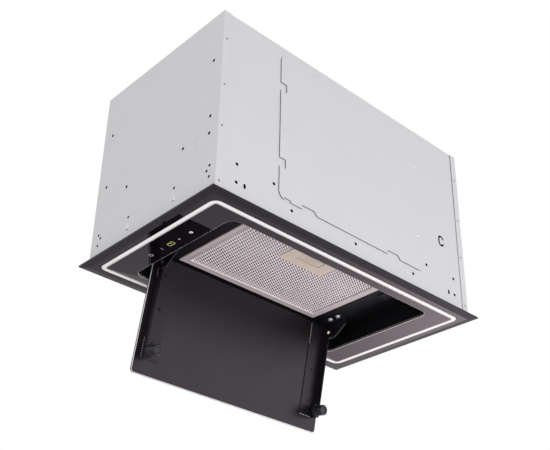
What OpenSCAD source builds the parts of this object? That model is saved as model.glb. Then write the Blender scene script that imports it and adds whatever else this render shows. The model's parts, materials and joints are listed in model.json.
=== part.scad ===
// Built-in range hood: a steel casing over a lit glass flange, a drop-down suction panel,
// a grease filter behind it and a double-inlet blower that blows up through a round collar.
// Units are millimetres. The origin is the centre of the cabinet cut-out, in the plane where
// the flange seats against the cabinet floor. +Z is up, -Y is the front, the hood is level.

/* [Flange] */
// Width of the glass flange, side to side
flange_w = 560; // [540:1:640]
// Depth of the glass flange, front to back
flange_d = 316; // [306:1:380]
// Thickness of the flange glass and the panel glass
glass_t = 4; // [3:0.5:6]
// Thickness of the steel carrier behind the glass
carrier_t = 1.5; // [1:0.1:2.5]
// How far the flange stands out past the casing at the sides
lip_side = 11; // [8:0.5:15]
// How far the flange stands out past the casing at the front and back
lip_front = 10.5; // [8:0.5:14]
// Width of the polished facet round the glass edge
facet_w = 12; // [6:0.5:16]
// Depth of the facet at the glass edge
facet_drop = 1.5; // [0.5:0.1:2.5]

/* [Light ring] */
// Distance from the flange edge to the light ring
ring_inset = 21; // [20:0.5:24]
// Visible width of the light ring
ring_w = 7.9; // [5:0.1:10]
// Outer corner radius of the light ring
ring_r = 13; // [11:0.5:20]

/* [Suction opening] */
// Distance from the flange's side edge to the suction opening
opening_side = 72; // [66:0.5:90]
// Distance from the flange's front edge to the suction opening
opening_front = 45; // [43:0.5:60]
// Corner radius of the suction opening
opening_r = 14; // [8:0.5:20]
// Height of the cavity shelf over the seat plane
cavity_h = 34.5; // [33.5:0.5:42]

/* [Casing] */
// Height of the casing over the seat plane
casing_h = 312; // [305:1:380]
// Thickness of the casing sheet
sheet_t = 1; // [0.8:0.1:1.5]
// Width of the side panels' folds over the front and back
seam_lap = 12.6; // [10:0.2:16]
// Radius of the fixing holes
hole_r = 2.15; // [1.6:0.05:2.6]
// Width of the service opening in the front
service_w = 290; // [240:1:294]
// Height of the service opening in the front
service_h = 234; // [180:1:240]

/* [Suction panel] */
// Gap between the suction panel and the sides of the opening
panel_gap = 18; // [14:0.5:24]
// Angle at which the panel hangs open
open_angle = 101; // [90:1:104]
// Distance from the hinge axis down to the panel's inner face
hinge_drop = 14.2; // [13.5:0.1:16.5]
// Height of the arm's side wall
arm_wall_h = 15; // [12:0.5:17]
// Width of the arm's base strip
arm_w = 31.8; // [28:0.2:36]
// Radius of the hinge pins
pin_r = 3; // [2:0.1:4]
// Radius of the catch knobs
knob_r = 8.75; // [7:0.25:10]

/* [Grease filter] */
// Depth of the filter, front to back
filter_d = 172; // [150:1:174]
// Thickness of the filter
filter_t = 9; // [8:0.5:14]
// Width of the filter frame's border
filter_border = 12; // [9:0.5:16]
// How far the filter's catch slides
catch_travel = 4.5; // [3:0.1:5]

/* [Blower] */
// Outer radius of the impeller as a share of the height between the filter and the outlet
impeller_share = 0.3433; // [0.3:0.0001:0.36]
// Width of the scroll housing
scroll_w = 116; // [100:1:130]
// Number of impeller blades
blade_count = 30; // [20:1:36]
// Radius of the motor
motor_r = 42; // [34:1:46]
// Outer radius of the outlet collar
collar_r = 74.5; // [60:0.5:75]
// Height of the outlet collar over the casing
collar_h = 40; // [30:1:60]

/* [Hidden] */

// Roundness of curves, and of small holes
$fn = 64;
small_fn = 24;
// Overrun of a cut past the faces that it opens
over = 1;
// Clearance of pieces that fit together and stay still
fit = 0.2;
// Radial clearance of a shaft in its hole
running = 0.05;
// Clearance between faces of pieces that move past each other
moving = 0.4;

// Colours as the eye sees them
steel_c = "#c9c9cb";
black_steel_c = "#26242a";
glass_c = "#4a4246";
light_c = "#f2eef4";
alu_c = "#d9d2d6";
plate_c = "#bfb3a5";
plastic_c = "#1b1b1e";
zinc_c = "#b8bcc2";
board_c = "#1f5f3a";
copper_c = "#b87333";
white_c = "#e8e6e2";

// Levels of the flange, counted up from the seat plane
glass_top = -carrier_t;
glass_bottom = glass_top - glass_t;

// Casing; its walls stand in a shallow groove of the carrier, so the ledge outside them is clear
groove_depth = 0.4;
casing_w = flange_w - 2*lip_side;
casing_d = flange_d - 2*lip_front;
wall_in_x = casing_w/2 - sheet_t;
wall_in_y = casing_d/2 - 2*sheet_t;
top_flange_h = 12;
rivet_r = 1.5;
rivet_proud = 0.5;
rivet_in = 6.5;
rivet_z_share = [0.052, 0.34, 0.57, 0.835];

// Hole pattern of the sides: distance from the middle, height
side_shift = -2;
side_hole_y = 126.5;
side_hole_low = 128.6;
side_hole_high = 227.8;
side_mid_y = 68.4;
side_mid_z = 102.8;
side_edge_z = 99.6;
side_small_r = 1.8;
side_corner_y = 131.7;
side_corner_z = [25.9, 43.9];
side_foot_y = 126;
side_foot_z = 36.9;
side_tab_y = 54.5;
side_tab_z = 43.2;
side_screw_z = 25.5;
plug_y = -105;
plug_z = 96.6;
plug_r = 7.5;
plug_lip = 0.8;
plug_body_r = 5.5;
plug_depth = 4;

// Hole pattern of the front: distance from the middle, height
front_shift = 3;
front_outer_x = 235;
front_inner_x = 166.5;
front_high_z = 57;
front_low_z = 27.8;
front_low_x = 131.5;
front_slot_x = 220;
slot_r = 1.8;
slot_l = 7.2;
foot_notch_w = 4;
foot_notch_h = 1.6;
knockout_x = 212.3;
knockout_z = 118;
knockout_w = 13.6;
knockout_h = 19.7;
knockout_stroke = 3.3;
knockout_r = 6.2;
knockout_gap = 7.4;

// Service cover over its opening
service_x = 2.5;
service_z = 168;
service_r = 10;
cover_lap = 12;
cover_t = 1.2;
cover_r = 12;
tongue_depth = 6.5;
tongue_w = 31;
tongue_slope = 7;
tongue_x_share = [-0.307, 0.275];
corner_tongue_x = 9.5;
corner_tongue_w = 13;
corner_tongue_d = 3.4;
side_tongue_w = 12;
side_tongue_h = 15;
side_tongue_z_share = [0.26, -0.267];
cover_screw_in = 5.8;
cover_screw_z_share = [0.257, -0.257];

// Pan-head screws
screw_r = 2;
screw_head_r = 4.4;
screw_head_t = 2;
screw_l = 8;
drive_w = 1;
drive_l = 5;
drive_depth = 1;

// Light ring
ring_out_w = flange_w - 2*ring_inset;
ring_out_d = flange_d - 2*ring_inset;
trough_wall = 1.2;
trough_h = 8.5;
diffuser_t = 6;
led_board_t = 1.2;
led_board_w = 5;
led_size = 3;
led_t = 0.8;
led_pitch = 24;

// Suction opening and cavity
opening_w = flange_w - 2*opening_side;
opening_d = flange_d - 2*opening_front;
tub_set = 3.5;
tub_t = 0.8;
tub_w = opening_w + 2*tub_set;
tub_d = opening_d + 2*tub_set;
tub_r = opening_r + tub_set;
tub_foot_w = 8;
shelf_top = cavity_h + tub_t;
carrier_set = 2;
tab_w = 30;
tab_h = 34;

// Controls behind the left glass strip
control_shift = 1;
control_x = -(flange_w/2 - (opening_side + ring_inset + ring_w)/2) + control_shift;
control_w = 23;
control_y = -8;
control_l = 132;
control_h = 14;
control_wall = 1.2;
board_t = 1.6;
icon_shift = 2.8;
icon_x = control_x + icon_shift;
touch_r = 4;
touch_y = [47.8, 21.3, -18.7, -45.5, -66.5];
digit_w = 12.5;
digit_l = 17.5;
board_rise = 7;
board_z = glass_top + board_rise;

// Suction panel, drawn shut and then swung open about its hinge
panel_sheet_t = 0.8;
panel_w = opening_w - 2*panel_gap;
panel_front = -(opening_d/2 - panel_gap + fit);
panel_back_gap = 20.2;
panel_back = opening_d/2 - panel_back_gap;
panel_d = panel_back - panel_front;
panel_mid = (panel_back + panel_front)/2;
panel_r = 6;
panel_in = glass_top - fit;
panel_sheet_in = 2;
panel_sheet_low = panel_in - panel_sheet_t;
panel_low = panel_sheet_low - glass_t;
hinge_set = 14.8;
hinge_y = panel_back - hinge_set;
hinge_z = panel_in + hinge_drop;

// Arms of the panel
arm_t = 1.5;
arm_strip_t = 1.2;
arm_set = 10;
arm_out = panel_w/2 - arm_set;
arm_in = arm_out - arm_w;
arm_front_set = 24.2;
arm_back_set = 4;
arm_front = panel_front + arm_front_set;
arm_back = panel_back - arm_back_set;
ear_r = 10.5;
ear_base = 26;
ear_step = 0.8;
perf_r = 0.8;
perf_pitch = 4;
perf_rise = 2;
front_perf_count = 8;
back_perf_count = 6;
edge_perf_count = 7;
side_perf_count = 10;
arm_screw_y_share = [0.165, 0.5, 0.845];
arm_screw_in = 15;
arm_screw_r = 1.6;
arm_screw_head_r = 3;
arm_screw_head_t = 1.4;
knob_set = 34.2;
knob_y = panel_front + knob_set;
knob_in = 7.5;
tab_r = 10.5;
knob_gap = 0.6;
keeper_t = 2;
knob_tip = cavity_h - keeper_t - knob_gap;
knob_skirt_w = 1.3;
knob_skirt_r = knob_r + knob_skirt_w;
knob_skirt_t = 3;
knob_bevel = 1.4;
magnet_r = 5;
magnet_t = 2;
keeper_l = 26;
keeper_w = 22;

// Hinge brackets under the shelf
bracket_t = 1.5;
bracket_gap = 1;
bracket_in = arm_out + bracket_gap;
bracket_r = 10.5;
bracket_reach = 36;
bracket_front = hinge_y - bracket_reach;
bracket_front_low = 19;
bracket_chin = [-10, -10.3];
bracket_tail = 4;
bracket_back = hinge_y + bracket_tail;
bracket_foot_w = 14.5;
bracket_screw_set = [27, 9.3];
bracket_screw_y = [for (set = bracket_screw_set) hinge_y - set];
bracket_screw_in = 5;
pin_head_r = 5;
pin_head_t = 1.4;

// Filter
filter_gap = 1.2;
filter_drop = 1.5;
filter_w = 2*(arm_in - filter_gap);
filter_low = cavity_h - filter_drop;
filter_top = filter_low + filter_t;
filter_wall = 1;
bead_w = 2.4;
bead_t = 0.9;
mesh_t = 0.6;
mesh_cols = 20;
mesh_rows = 12;
mesh_strand = 1.7;
mesh_angle = 32;
slot_l_share = 0.96;
slot_w_share = 0.7;
plate_w = 92;
plate_l = 43;
plate_drop = 1.2;
plate_low = filter_low - plate_drop;
plate_top = filter_top - filter_wall - mesh_t;
plate_front = -(filter_d/2 - filter_border - fit);
grip_w = 46;
grip_l = 22;
grip_set = 3.8;
grip_front = plate_front + grip_set;
grip_depth = 6;
bolt_w = 16;
bolt_t = 3;
bolt_low = shelf_top + moving;
slider_w = 30;
slider_l = 21;
slider_tab_t = 4.5;
slider_tab_set = 1.5;
slider_tab_y = grip_front + catch_travel + slider_tab_set;
tongue_t = 1.2;
hook_w = 30;
hook_x = 100;
hook_l = 5;
tongue_rise = 0.3;
tilt_set = 2.3;
tilt_y = filter_d/2 + tilt_set;
hole_gap_back = 2.7;
hole_gap = 0.7;
clip_t = 1.2;
clip_h = 4.2;

// Blower
wall_t = 1;
tongue_angle = 70;
tongue_gap = 6;
adaptor_h = 36;
adaptor_base = casing_h - sheet_t - adaptor_h;
impeller_r = impeller_share*(adaptor_base - filter_top);
tongue_r = impeller_r + tongue_gap;
scroll_growth_share = 0.575;
scroll_growth = scroll_growth_share*impeller_r;
scroll_end = tongue_r + scroll_growth;
tongue_x = tongue_r*cos(tongue_angle);
blower_x = -(tongue_x + scroll_end)/2;
scroll_step = 10;
scroll_rise = 22;
scroll_low = filter_top + scroll_rise;
straight_down = 270;
blower_z = scroll_low + scroll_radius(straight_down) + wall_t;
neck_w = scroll_end - tongue_x;
neck_lap = 8;
neck_top = adaptor_base + neck_lap;
inlet_set = 18;
inlet_r = impeller_r - inlet_set;
bell_r = 6;
bell_t = 1.2;
bell_flat = 6;
blade_span = 16;
blade_in = impeller_r - blade_span;
blade_t = 1.2;
blade_end = 5;
blade_arc_r = 19.6;
blade_arc_drop = 16.4;
end_ring_t = 2;
end_ring_w = 8;
hub_disc_t = 3;
hub_r = 12;
hub_l = 12;
shaft_r = 4;
motor_reach = 20;
motor_front = -(scroll_w/2 + motor_reach);
motor_back = -9;
motor_bore_l = 14;
motor_cap_r = 30;
motor_cap_t = 5;
spider_t = 3;
spider_w = 10;
spider_gap = 7;
spider_foot_r = inlet_r + bell_r + bell_flat + spider_gap;
spider_arms = 3;
spider_rise = 1;

// Outlet
collar_t = 1;
collar_flange_w = 12;
collar_flange_r = collar_r + collar_flange_w;
collar_flange_t = 1.2;
flap_t = 1.2;
flap_rise = 6;
flap_z = casing_h + flap_rise;
flap_gap = 1.6;
flap_pin_r = 2;
flap_pin_x = 3;
flap_eye_r = 2.8;
flap_eye_l = 10;
pin_set = 0.2;
loft_fn = 48;
loft_t = 0.1;
flap_eye_y = 40;

// Electronics by the right side
tray_x = wall_in_x;
tray_depth = 40;
tray_y = 0;
tray_l = 130;
tray_z = 190;
tray_h = 90;
tray_t = 1.5;
power_board_t = 1.6;
board_stand = 6;
stand_y_share = 0.42;
stand_z_share = 0.38;
terminal_w = 34;
terminal_l = 12;
terminal_h = 14;
cap_r = 14;
cap_l = 52;
gland_in_x = 68;
gland_in_y = 50.5;
gland_x = wall_in_x - gland_in_x;
gland_y = wall_in_y - gland_in_y;
gland_r = 9;
gland_bore_r = 4.2;
gland_up = 14;
gland_down = 10;
gland_nut_r = 13;
gland_nut_t = 5;

// Radius of the scroll's inner face at an angle, growing from the tongue round to the outlet
function scroll_radius(a) = tongue_r + scroll_growth*(a - tongue_angle)/(360 - tongue_angle);

// Points of the scroll's outline, grown by a wall thickness
function scroll_points(grow) = concat(
    [for (a = [tongue_angle : scroll_step : 360]) (scroll_radius(a) + grow)*[cos(a), sin(a)]],
    [[scroll_end + grow, neck_top - blower_z], [tongue_x - grow, neck_top - blower_z]]);

// A block between two corners
module block(low, high) {
    translate(low) cube(high - low);
}

// A rectangle with round corners, centred
module round_rect(w, d, r) {
    square([w - 2*r, d], center = true);
    square([w, d - 2*r], center = true);
    for (x = [-1, 1], y = [-1, 1]) translate([x*(w/2 - r), y*(d/2 - r)]) circle(r);
}

// A flat ring between two round rectangles, given the outer one and the band's width
module band_2d(w, d, r, band) {
    difference() {
        round_rect(w, d, r);
        round_rect(w - 2*band, d - 2*band, r - band);
    }
}

// The same between two levels
module band(w, d, r, width, low, high) {
    translate([0, 0, low]) linear_extrude(high - low) band_2d(w, d, r, width);
}

// Turns a drawing in X and Z into a wall that faces front, from y0 to y1
module wall_xz(y0, y1) {
    translate([0, y1, 0]) rotate([90, 0, 0]) linear_extrude(y1 - y0) children();
}

// Turns a drawing in Y and Z into a wall that faces sideways, from x0 to x1
module wall_yz(x0, x1) {
    translate([x0, 0, 0]) rotate([90, 0, 90]) linear_extrude(x1 - x0) children();
}

// Mirrors a left piece to the right side where side is 1
module on_side(side) {
    mirror([side > 0 ? 1 : 0, 0, 0]) children();
}

// A pan-head screw along +Z, its head's underside at the origin, with a cross drive
module pan_screw(r, head_r, head_t, length) {
    translate([0, 0, -length]) cylinder(r = r, h = length, $fn = small_fn);
    difference() {
        cylinder(r1 = head_r, r2 = head_r*0.8, h = head_t, $fn = small_fn);
        for (turn = [0, 90]) rotate([0, 0, turn]) translate([0, 0, head_t])
            cube([drive_l*head_r/screw_head_r, drive_w, 2*drive_depth*head_t/screw_head_t], center = true);
    }
}

// Swings a piece of the suction panel from shut to the angle at which it hangs
module swung() {
    translate([0, hinge_y, hinge_z]) rotate([open_angle, 0, 0])
        translate([0, -hinge_y, -hinge_z]) children();
}

// Flange

// One wedge that cuts the facet along an edge, drawn in the plane across that edge
module facet_wedge(half) {
    polygon([[half - facet_w, glass_bottom], [half + facet_w, glass_bottom + 2*facet_drop],
        [half + facet_w, glass_bottom - facet_w], [half - facet_w, glass_bottom - facet_w]]);
}

module outer_glass_frame() {
    color(glass_c) difference() {
        block([-flange_w/2, -flange_d/2, glass_bottom], [flange_w/2, flange_d/2, glass_top]);
        translate([0, 0, glass_bottom - over]) linear_extrude(glass_t + 2*over)
            round_rect(ring_out_w, ring_out_d, ring_r);
        for (s = [0, 1]) {
            mirror([s, 0, 0]) wall_xz(-flange_d, flange_d) facet_wedge(flange_w/2);
            mirror([0, s, 0]) wall_yz(-flange_w, flange_w) facet_wedge(flange_d/2);
        }
    }
}

module inner_glass_frame() {
    color(glass_c) translate([0, 0, glass_bottom]) linear_extrude(glass_t) difference() {
        round_rect(ring_out_w - 2*ring_w, ring_out_d - 2*ring_w, ring_r - ring_w);
        round_rect(opening_w, opening_d, opening_r);
    }
}

module light_diffuser() {
    color(light_c) band(ring_out_w - fit, ring_out_d - fit, ring_r - fit/2, ring_w - fit,
        glass_bottom, glass_bottom + diffuser_t);
}

module led_strip() {
    inset = (ring_w - led_board_w)/2;
    run_x = ring_out_w - 2*ring_r;
    run_y = ring_out_d - 2*ring_r;
    board_low = trough_h - carrier_t - led_board_t;
    color(white_c) band(ring_out_w - 2*inset, ring_out_d - 2*inset, ring_r - inset, led_board_w,
        board_low, board_low + led_board_t);
    color(light_c) for (s = [-1, 1]) {
        for (x = [-run_x/2 : led_pitch : run_x/2])
            translate([x, s*(ring_out_d - ring_w)/2, board_low - led_t/2])
                cube([led_size, led_size, led_t], center = true);
        for (y = [-run_y/2 : led_pitch : run_y/2])
            translate([s*(ring_out_w - ring_w)/2, y, board_low - led_t/2])
                cube([led_size, led_size, led_t], center = true);
    }
}

// Groove for the feet of the casing's walls
module wall_groove() {
    difference() {
        block([-casing_w/2 - fit, -casing_d/2 - fit, -groove_depth],
            [casing_w/2 + fit, casing_d/2 + fit, over]);
        block([-wall_in_x + fit, -wall_in_y + fit, -over], [wall_in_x - fit, wall_in_y - fit, 2*over]);
    }
}

module carrier_frame() {
    outer_w = ring_out_w + 2*trough_wall;
    outer_d = ring_out_d + 2*trough_wall;
    outer_r = ring_r + trough_wall;
    inner_w = ring_out_w - 2*ring_w;
    inner_d = ring_out_d - 2*ring_w;
    color(black_steel_c) difference() {
        union() {
            difference() {
                block([-flange_w/2 + carrier_set, -flange_d/2 + carrier_set, glass_top],
                    [flange_w/2 - carrier_set, flange_d/2 - carrier_set, 0]);
                wall_groove();
            }
            band(outer_w, outer_d, outer_r, ring_w + 2*trough_wall, glass_top, trough_h);
            for (x = [-1, 1], y = [-1, 1])
                translate([x*(wall_in_x - carrier_t/2), y*side_tab_y + side_shift, tab_h/2])
                    cube([carrier_t, tab_w, tab_h], center = true);
        }
        band(ring_out_w, ring_out_d, ring_r, ring_w, glass_top - over, trough_h - carrier_t);
        translate([0, 0, glass_top - over]) linear_extrude(carrier_t + 2*over)
            round_rect(tub_w, tub_d, tub_r);
        block([control_x - control_w/2, control_y - control_l/2, glass_top - over],
            [control_x + control_w/2, control_y + control_l/2, over]);
        for (x = [-1, 1], y = [-1, 1])
            translate([x*wall_in_x, y*side_tab_y + side_shift, side_screw_z]) rotate([0, 90, 0])
                cylinder(r = screw_r, h = 2*carrier_t + 2*over, center = true, $fn = small_fn);
    }
}

// Cavity above the opening, with the shelf that carries the filter
module cavity_tub() {
    color(black_steel_c) difference() {
        union() {
            linear_extrude(shelf_top) round_rect(tub_w + 2*tub_t, tub_d + 2*tub_t, tub_r + tub_t);
            difference() {
                linear_extrude(tub_t) round_rect(tub_w + 2*tub_foot_w, tub_d + 2*tub_foot_w, tub_r);
                block([-flange_w, -flange_d, -over], [-tub_w/2, flange_d, tub_t + over]);
            }
        }
        translate([0, 0, -over]) linear_extrude(cavity_h + over) round_rect(tub_w, tub_d, tub_r);
        block([-filter_w/2 - hole_gap, -filter_d/2 - hole_gap, cavity_h - over],
            [filter_w/2 + hole_gap, filter_d/2 + hole_gap_back, shelf_top + over]);
        for (x = [-1, 1], y = bracket_screw_y)
            translate([x*(bracket_in + bracket_t - bracket_foot_w + bracket_screw_in), y, cavity_h - over])
                cylinder(r = screw_r, h = tub_t + 2*over, $fn = small_fn);
    }
}

// Casing

// Fixing holes of a side panel, in Y and Z
module side_holes() {
    translate([side_shift, 0]) {
        for (s = [-1, 1]) {
            translate([s*side_hole_y, side_hole_low]) circle(hole_r, $fn = small_fn);
            translate([s*side_hole_y, side_hole_high]) circle(hole_r, $fn = small_fn);
            translate([s*side_mid_y, side_mid_z]) circle(hole_r, $fn = small_fn);
            for (z = side_corner_z) translate([s*side_corner_y, z]) circle(side_small_r, $fn = small_fn);
            translate([s*side_foot_y, side_foot_z]) circle(side_small_r, $fn = small_fn);
            translate([s*side_tab_y, side_tab_z]) circle(side_small_r, $fn = small_fn);
            translate([s*side_tab_y, side_screw_z]) circle(screw_r, $fn = small_fn);
        }
        translate([-side_hole_y, side_edge_z]) circle(hole_r, $fn = small_fn);
    }
}

// The left side panel; the right one is its mirror image without the plug hole
module side_panel(plugged) {
    color(steel_c) difference() {
        union() {
            wall_yz(-casing_w/2, -wall_in_x) translate([-casing_d/2, -groove_depth])
                square([casing_d, casing_h + groove_depth]);
            for (s = [0, 1]) mirror([0, s, 0])
                block([-casing_w/2, -casing_d/2, -groove_depth],
                    [-casing_w/2 + seam_lap, -casing_d/2 + sheet_t, casing_h]);
        }
        wall_yz(-casing_w/2 - over, -wall_in_x + over) side_holes();
        if (plugged) wall_yz(-casing_w/2 - over, -wall_in_x + over)
            translate([plug_y, plug_z]) circle(plug_body_r, $fn = small_fn);
        for (s = [0, 1], share = rivet_z_share) mirror([0, s, 0])
            translate([-casing_w/2 + rivet_in, -casing_d/2, share*casing_h])
                rotate([90, 0, 0]) cylinder(r = rivet_r, h = 2*sheet_t + over, center = true, $fn = small_fn);
    }
}

module left_side_panel() {
    side_panel(true);
}

module right_side_panel() {
    mirror([1, 0, 0]) side_panel(false);
}

// Outline of the front and back panels in X and Z, with the rivet holes and the foot notches
module long_panel_2d() {
    difference() {
        translate([-wall_in_x + fit, -groove_depth])
            square([2*(wall_in_x - fit), casing_h + groove_depth]);
        for (s = [-1, 1], share = rivet_z_share)
            translate([s*(casing_w/2 - rivet_in), share*casing_h]) circle(rivet_r, $fn = small_fn);
        translate([front_shift, 0]) {
            for (s = [-1, 1]) {
                translate([s*front_outer_x, front_high_z]) circle(hole_r, $fn = small_fn);
                translate([s*front_inner_x, front_high_z]) circle(hole_r, $fn = small_fn);
                translate([s*front_outer_x, front_low_z]) circle(hole_r, $fn = small_fn);
                translate([s*front_low_x, front_low_z]) circle(hole_r, $fn = small_fn);
                translate([s*front_slot_x, front_low_z]) hole_slot();
            }
            translate([0, front_low_z]) circle(hole_r, $fn = small_fn);
            for (x = [-front_outer_x, -front_low_x, 0, front_low_x, front_outer_x])
                translate([x - foot_notch_w/2, -groove_depth - over])
                    square([foot_notch_w, foot_notch_h + groove_depth + over]);
        }
    }
}

// An upright slot with round ends
module hole_slot() {
    reach = slot_l/2 - slot_r;
    for (s = [-1, 1]) translate([0, s*reach]) circle(slot_r, $fn = small_fn);
    square([2*slot_r, 2*reach], center = true);
}

// The C-shaped slot that leaves a tab for the cable outlet
module knockout_2d() {
    difference() {
        round_rect(knockout_w, knockout_h, knockout_r);
        round_rect(knockout_w - 2*knockout_stroke, knockout_h - 2*knockout_stroke,
            knockout_r - knockout_stroke);
        translate([0, -knockout_gap/2]) square([knockout_w, knockout_gap]);
    }
}

module front_panel() {
    color(steel_c) wall_xz(-casing_d/2 + sheet_t, -casing_d/2 + 2*sheet_t) difference() {
        long_panel_2d();
        translate([service_x, service_z]) round_rect(service_w, service_h, service_r);
        translate([knockout_x, knockout_z]) knockout_2d();
        for (share = cover_screw_z_share)
            translate([cover_screw_x(), service_z + share*cover_high()]) circle(screw_r, $fn = small_fn);
    }
}

module back_panel() {
    color(steel_c) wall_xz(casing_d/2 - 2*sheet_t, casing_d/2 - sheet_t) long_panel_2d();
}

module top_panel() {
    reach_x = wall_in_x - fit;
    reach_y = wall_in_y - fit;
    color(steel_c) difference() {
        block([-reach_x, -reach_y, casing_h - top_flange_h], [reach_x, reach_y, casing_h]);
        block([-reach_x + sheet_t, -reach_y + sheet_t, casing_h - top_flange_h - over],
            [reach_x - sheet_t, reach_y - sheet_t, casing_h - sheet_t]);
        translate([0, 0, casing_h - sheet_t - over])
            cylinder(r = collar_r - collar_t, h = sheet_t + 2*over);
        translate([gland_x, gland_y, casing_h - sheet_t - over])
            cylinder(r = gland_r, h = sheet_t + 2*over);
    }
}

module seam_rivets() {
    color(zinc_c) for (x = [-1, 1], y = [-1, 1], share = rivet_z_share)
        translate([x*(casing_w/2 - rivet_in), y*casing_d/2, share*casing_h]) rotate([y*90, 0, 0]) {
            cylinder(r = rivet_r, h = 2*sheet_t, $fn = small_fn);
            translate([0, 0, -rivet_proud]) cylinder(r1 = rivet_r*0.7, r2 = rivet_r*1.2, h = rivet_proud,
                $fn = small_fn);
        }
}

module side_screws() {
    color(zinc_c) for (x = [-1, 1], y = [-1, 1])
        translate([x*casing_w/2, y*side_tab_y + side_shift, side_screw_z]) rotate([0, x*90, 0])
            pan_screw(screw_r - fit/4, screw_head_r, screw_head_t, screw_l);
}

module hole_plug() {
    color(zinc_c) translate([-casing_w/2, plug_y, plug_z]) rotate([0, -90, 0]) {
        cylinder(r1 = plug_r, r2 = plug_r - plug_lip, h = plug_lip, $fn = small_fn);
        translate([0, 0, -plug_depth]) cylinder(r = plug_body_r - fit, h = plug_depth, $fn = small_fn);
    }
}

// Width and height of the service cover, which laps its opening, and the place of its screws
function cover_wide() = service_w + 2*cover_lap;
function cover_high() = service_h + 2*cover_lap;
function cover_screw_x() = service_x + cover_wide()/2 - cover_screw_in;

// A tongue's notch in the upper edge: straight on one side, sloped on the other
module tongue_notch() {
    polygon([[0, over], [0, -tongue_depth], [tongue_w - tongue_slope, -tongue_depth],
        [tongue_w, 0], [tongue_w, over]]);
}

module service_cover() {
    w = cover_wide();
    h = cover_high();
    color(steel_c) translate([service_x, 0, service_z])
        wall_xz(-casing_d/2 + sheet_t - cover_t, -casing_d/2 + sheet_t) difference() {
            round_rect(w, h, cover_r);
            for (s = [0, 1], share = tongue_x_share) mirror([0, s])
                translate([share*w - tongue_w/2, h/2]) tongue_notch();
            for (share = side_tongue_z_share) translate([-w/2 - over, share*h - side_tongue_h/2])
                square([side_tongue_w + over, side_tongue_h]);
            translate([-w/2 + corner_tongue_x, -h/2 - over])
                square([corner_tongue_w, corner_tongue_d + over]);
            for (share = cover_screw_z_share) translate([w/2 - cover_screw_in, share*h])
                circle(screw_r, $fn = small_fn);
        }
}

module service_cover_screws() {
    color(zinc_c) for (share = cover_screw_z_share)
        translate([cover_screw_x(), -casing_d/2 + sheet_t - cover_t, service_z + share*cover_high()])
            rotate([90, 0, 0]) pan_screw(screw_r - fit/4, screw_head_r, screw_head_t, screw_l);
}

// Controls

module control_housing() {
    low = [control_x - control_w/2 + fit, control_y - control_l/2 + fit, glass_top];
    high = [control_x + control_w/2 - fit, control_y + control_l/2 - fit, glass_top + control_h];
    rim = control_wall*[1, 1, 0];
    color(plastic_c) difference() {
        block(low, high);
        block(low + rim - [0, 0, over], high - rim - [0, 0, control_wall]);
    }
}

module control_board() {
    rim = control_wall + fit;
    color(board_c) block(
        [control_x - control_w/2 + fit + rim, control_y - control_l/2 + fit + rim, board_z],
        [control_x + control_w/2 - fit - rim, control_y + control_l/2 - fit - rim, board_z + board_t]);
}

module digit_display() {
    color(plastic_c) block([icon_x - digit_w/2, -digit_l/2, glass_top],
        [icon_x + digit_w/2, digit_l/2, board_z]);
}

module touch_pads() {
    color(zinc_c) for (y = touch_y) translate([icon_x, y, glass_top])
        cylinder(r = touch_r, h = board_z - glass_top, $fn = small_fn);
}

// Hinge brackets and keepers under the shelf

module hinge_bracket(side) {
    foot_low = cavity_h - bracket_t;
    outer = bracket_in + bracket_t;
    screw_x = outer - bracket_foot_w + bracket_screw_in;
    color(black_steel_c) on_side(-side) difference() {
        union() {
            wall_yz(bracket_in, outer) difference() {
                union() {
                    translate([hinge_y, hinge_z]) circle(bracket_r);
                    polygon([[bracket_front, cavity_h], [bracket_front, bracket_front_low],
                        [hinge_y, hinge_z] + bracket_chin, [hinge_y, hinge_z - bracket_r],
                        [hinge_y + bracket_r, hinge_z], [bracket_back, cavity_h]]);
                }
                translate([hinge_y, hinge_z]) circle(pin_r + running);
            }
            block([outer - bracket_foot_w, bracket_front, foot_low], [outer, bracket_back, cavity_h]);
        }
        for (y = bracket_screw_y) translate([screw_x, y, foot_low - over])
            cylinder(r = screw_r, h = bracket_t + 2*over, $fn = small_fn);
    }
}

module hinge_bracket_left() {
    hinge_bracket(-1);
}

module hinge_bracket_right() {
    hinge_bracket(1);
}

module hinge_bracket_screws() {
    screw_x = bracket_in + bracket_t - bracket_foot_w + bracket_screw_in;
    color(zinc_c) for (x = [-1, 1], y = bracket_screw_y)
        translate([x*screw_x, y, cavity_h - bracket_t]) rotate([180, 0, 0])
            pan_screw(screw_r - fit/4, screw_head_r, screw_head_t, bracket_t + tub_t + 2*sheet_t);
}

module catch_keepers() {
    knob_x = arm_out - knob_in;
    color(zinc_c) for (x = [-1, 1])
        block([x*knob_x - keeper_w/2, knob_y - keeper_l/2, cavity_h - keeper_t],
            [x*knob_x + keeper_w/2, knob_y + keeper_l/2, cavity_h]);
}

module filter_hook_clips() {
    back = tilt_y + hook_l;
    color(zinc_c) for (x = [-1, 1]) {
        block([x*hook_x - hook_w/2, back, shelf_top],
            [x*hook_x + hook_w/2, back + clip_t, shelf_top + clip_h + clip_t]);
        block([x*hook_x - hook_w/2, tilt_y, shelf_top + clip_h],
            [x*hook_x + hook_w/2, back, shelf_top + clip_h + clip_t]);
    }
}

// Suction panel

module panel_glass() {
    color(glass_c) swung() translate([0, panel_mid, panel_low])
        linear_extrude(glass_t) round_rect(panel_w, panel_d, panel_r);
}

module panel_sheet() {
    trim = 2*panel_sheet_in;
    color(black_steel_c) swung() translate([0, panel_mid, panel_sheet_low])
        linear_extrude(panel_sheet_t) round_rect(panel_w - trim, panel_d - trim, panel_r - panel_sheet_in);
}

// Places of an arm's screws along the arm
function arm_screw_y() = [for (share = arm_screw_y_share) arm_front + share*(arm_back - arm_front)];

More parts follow.
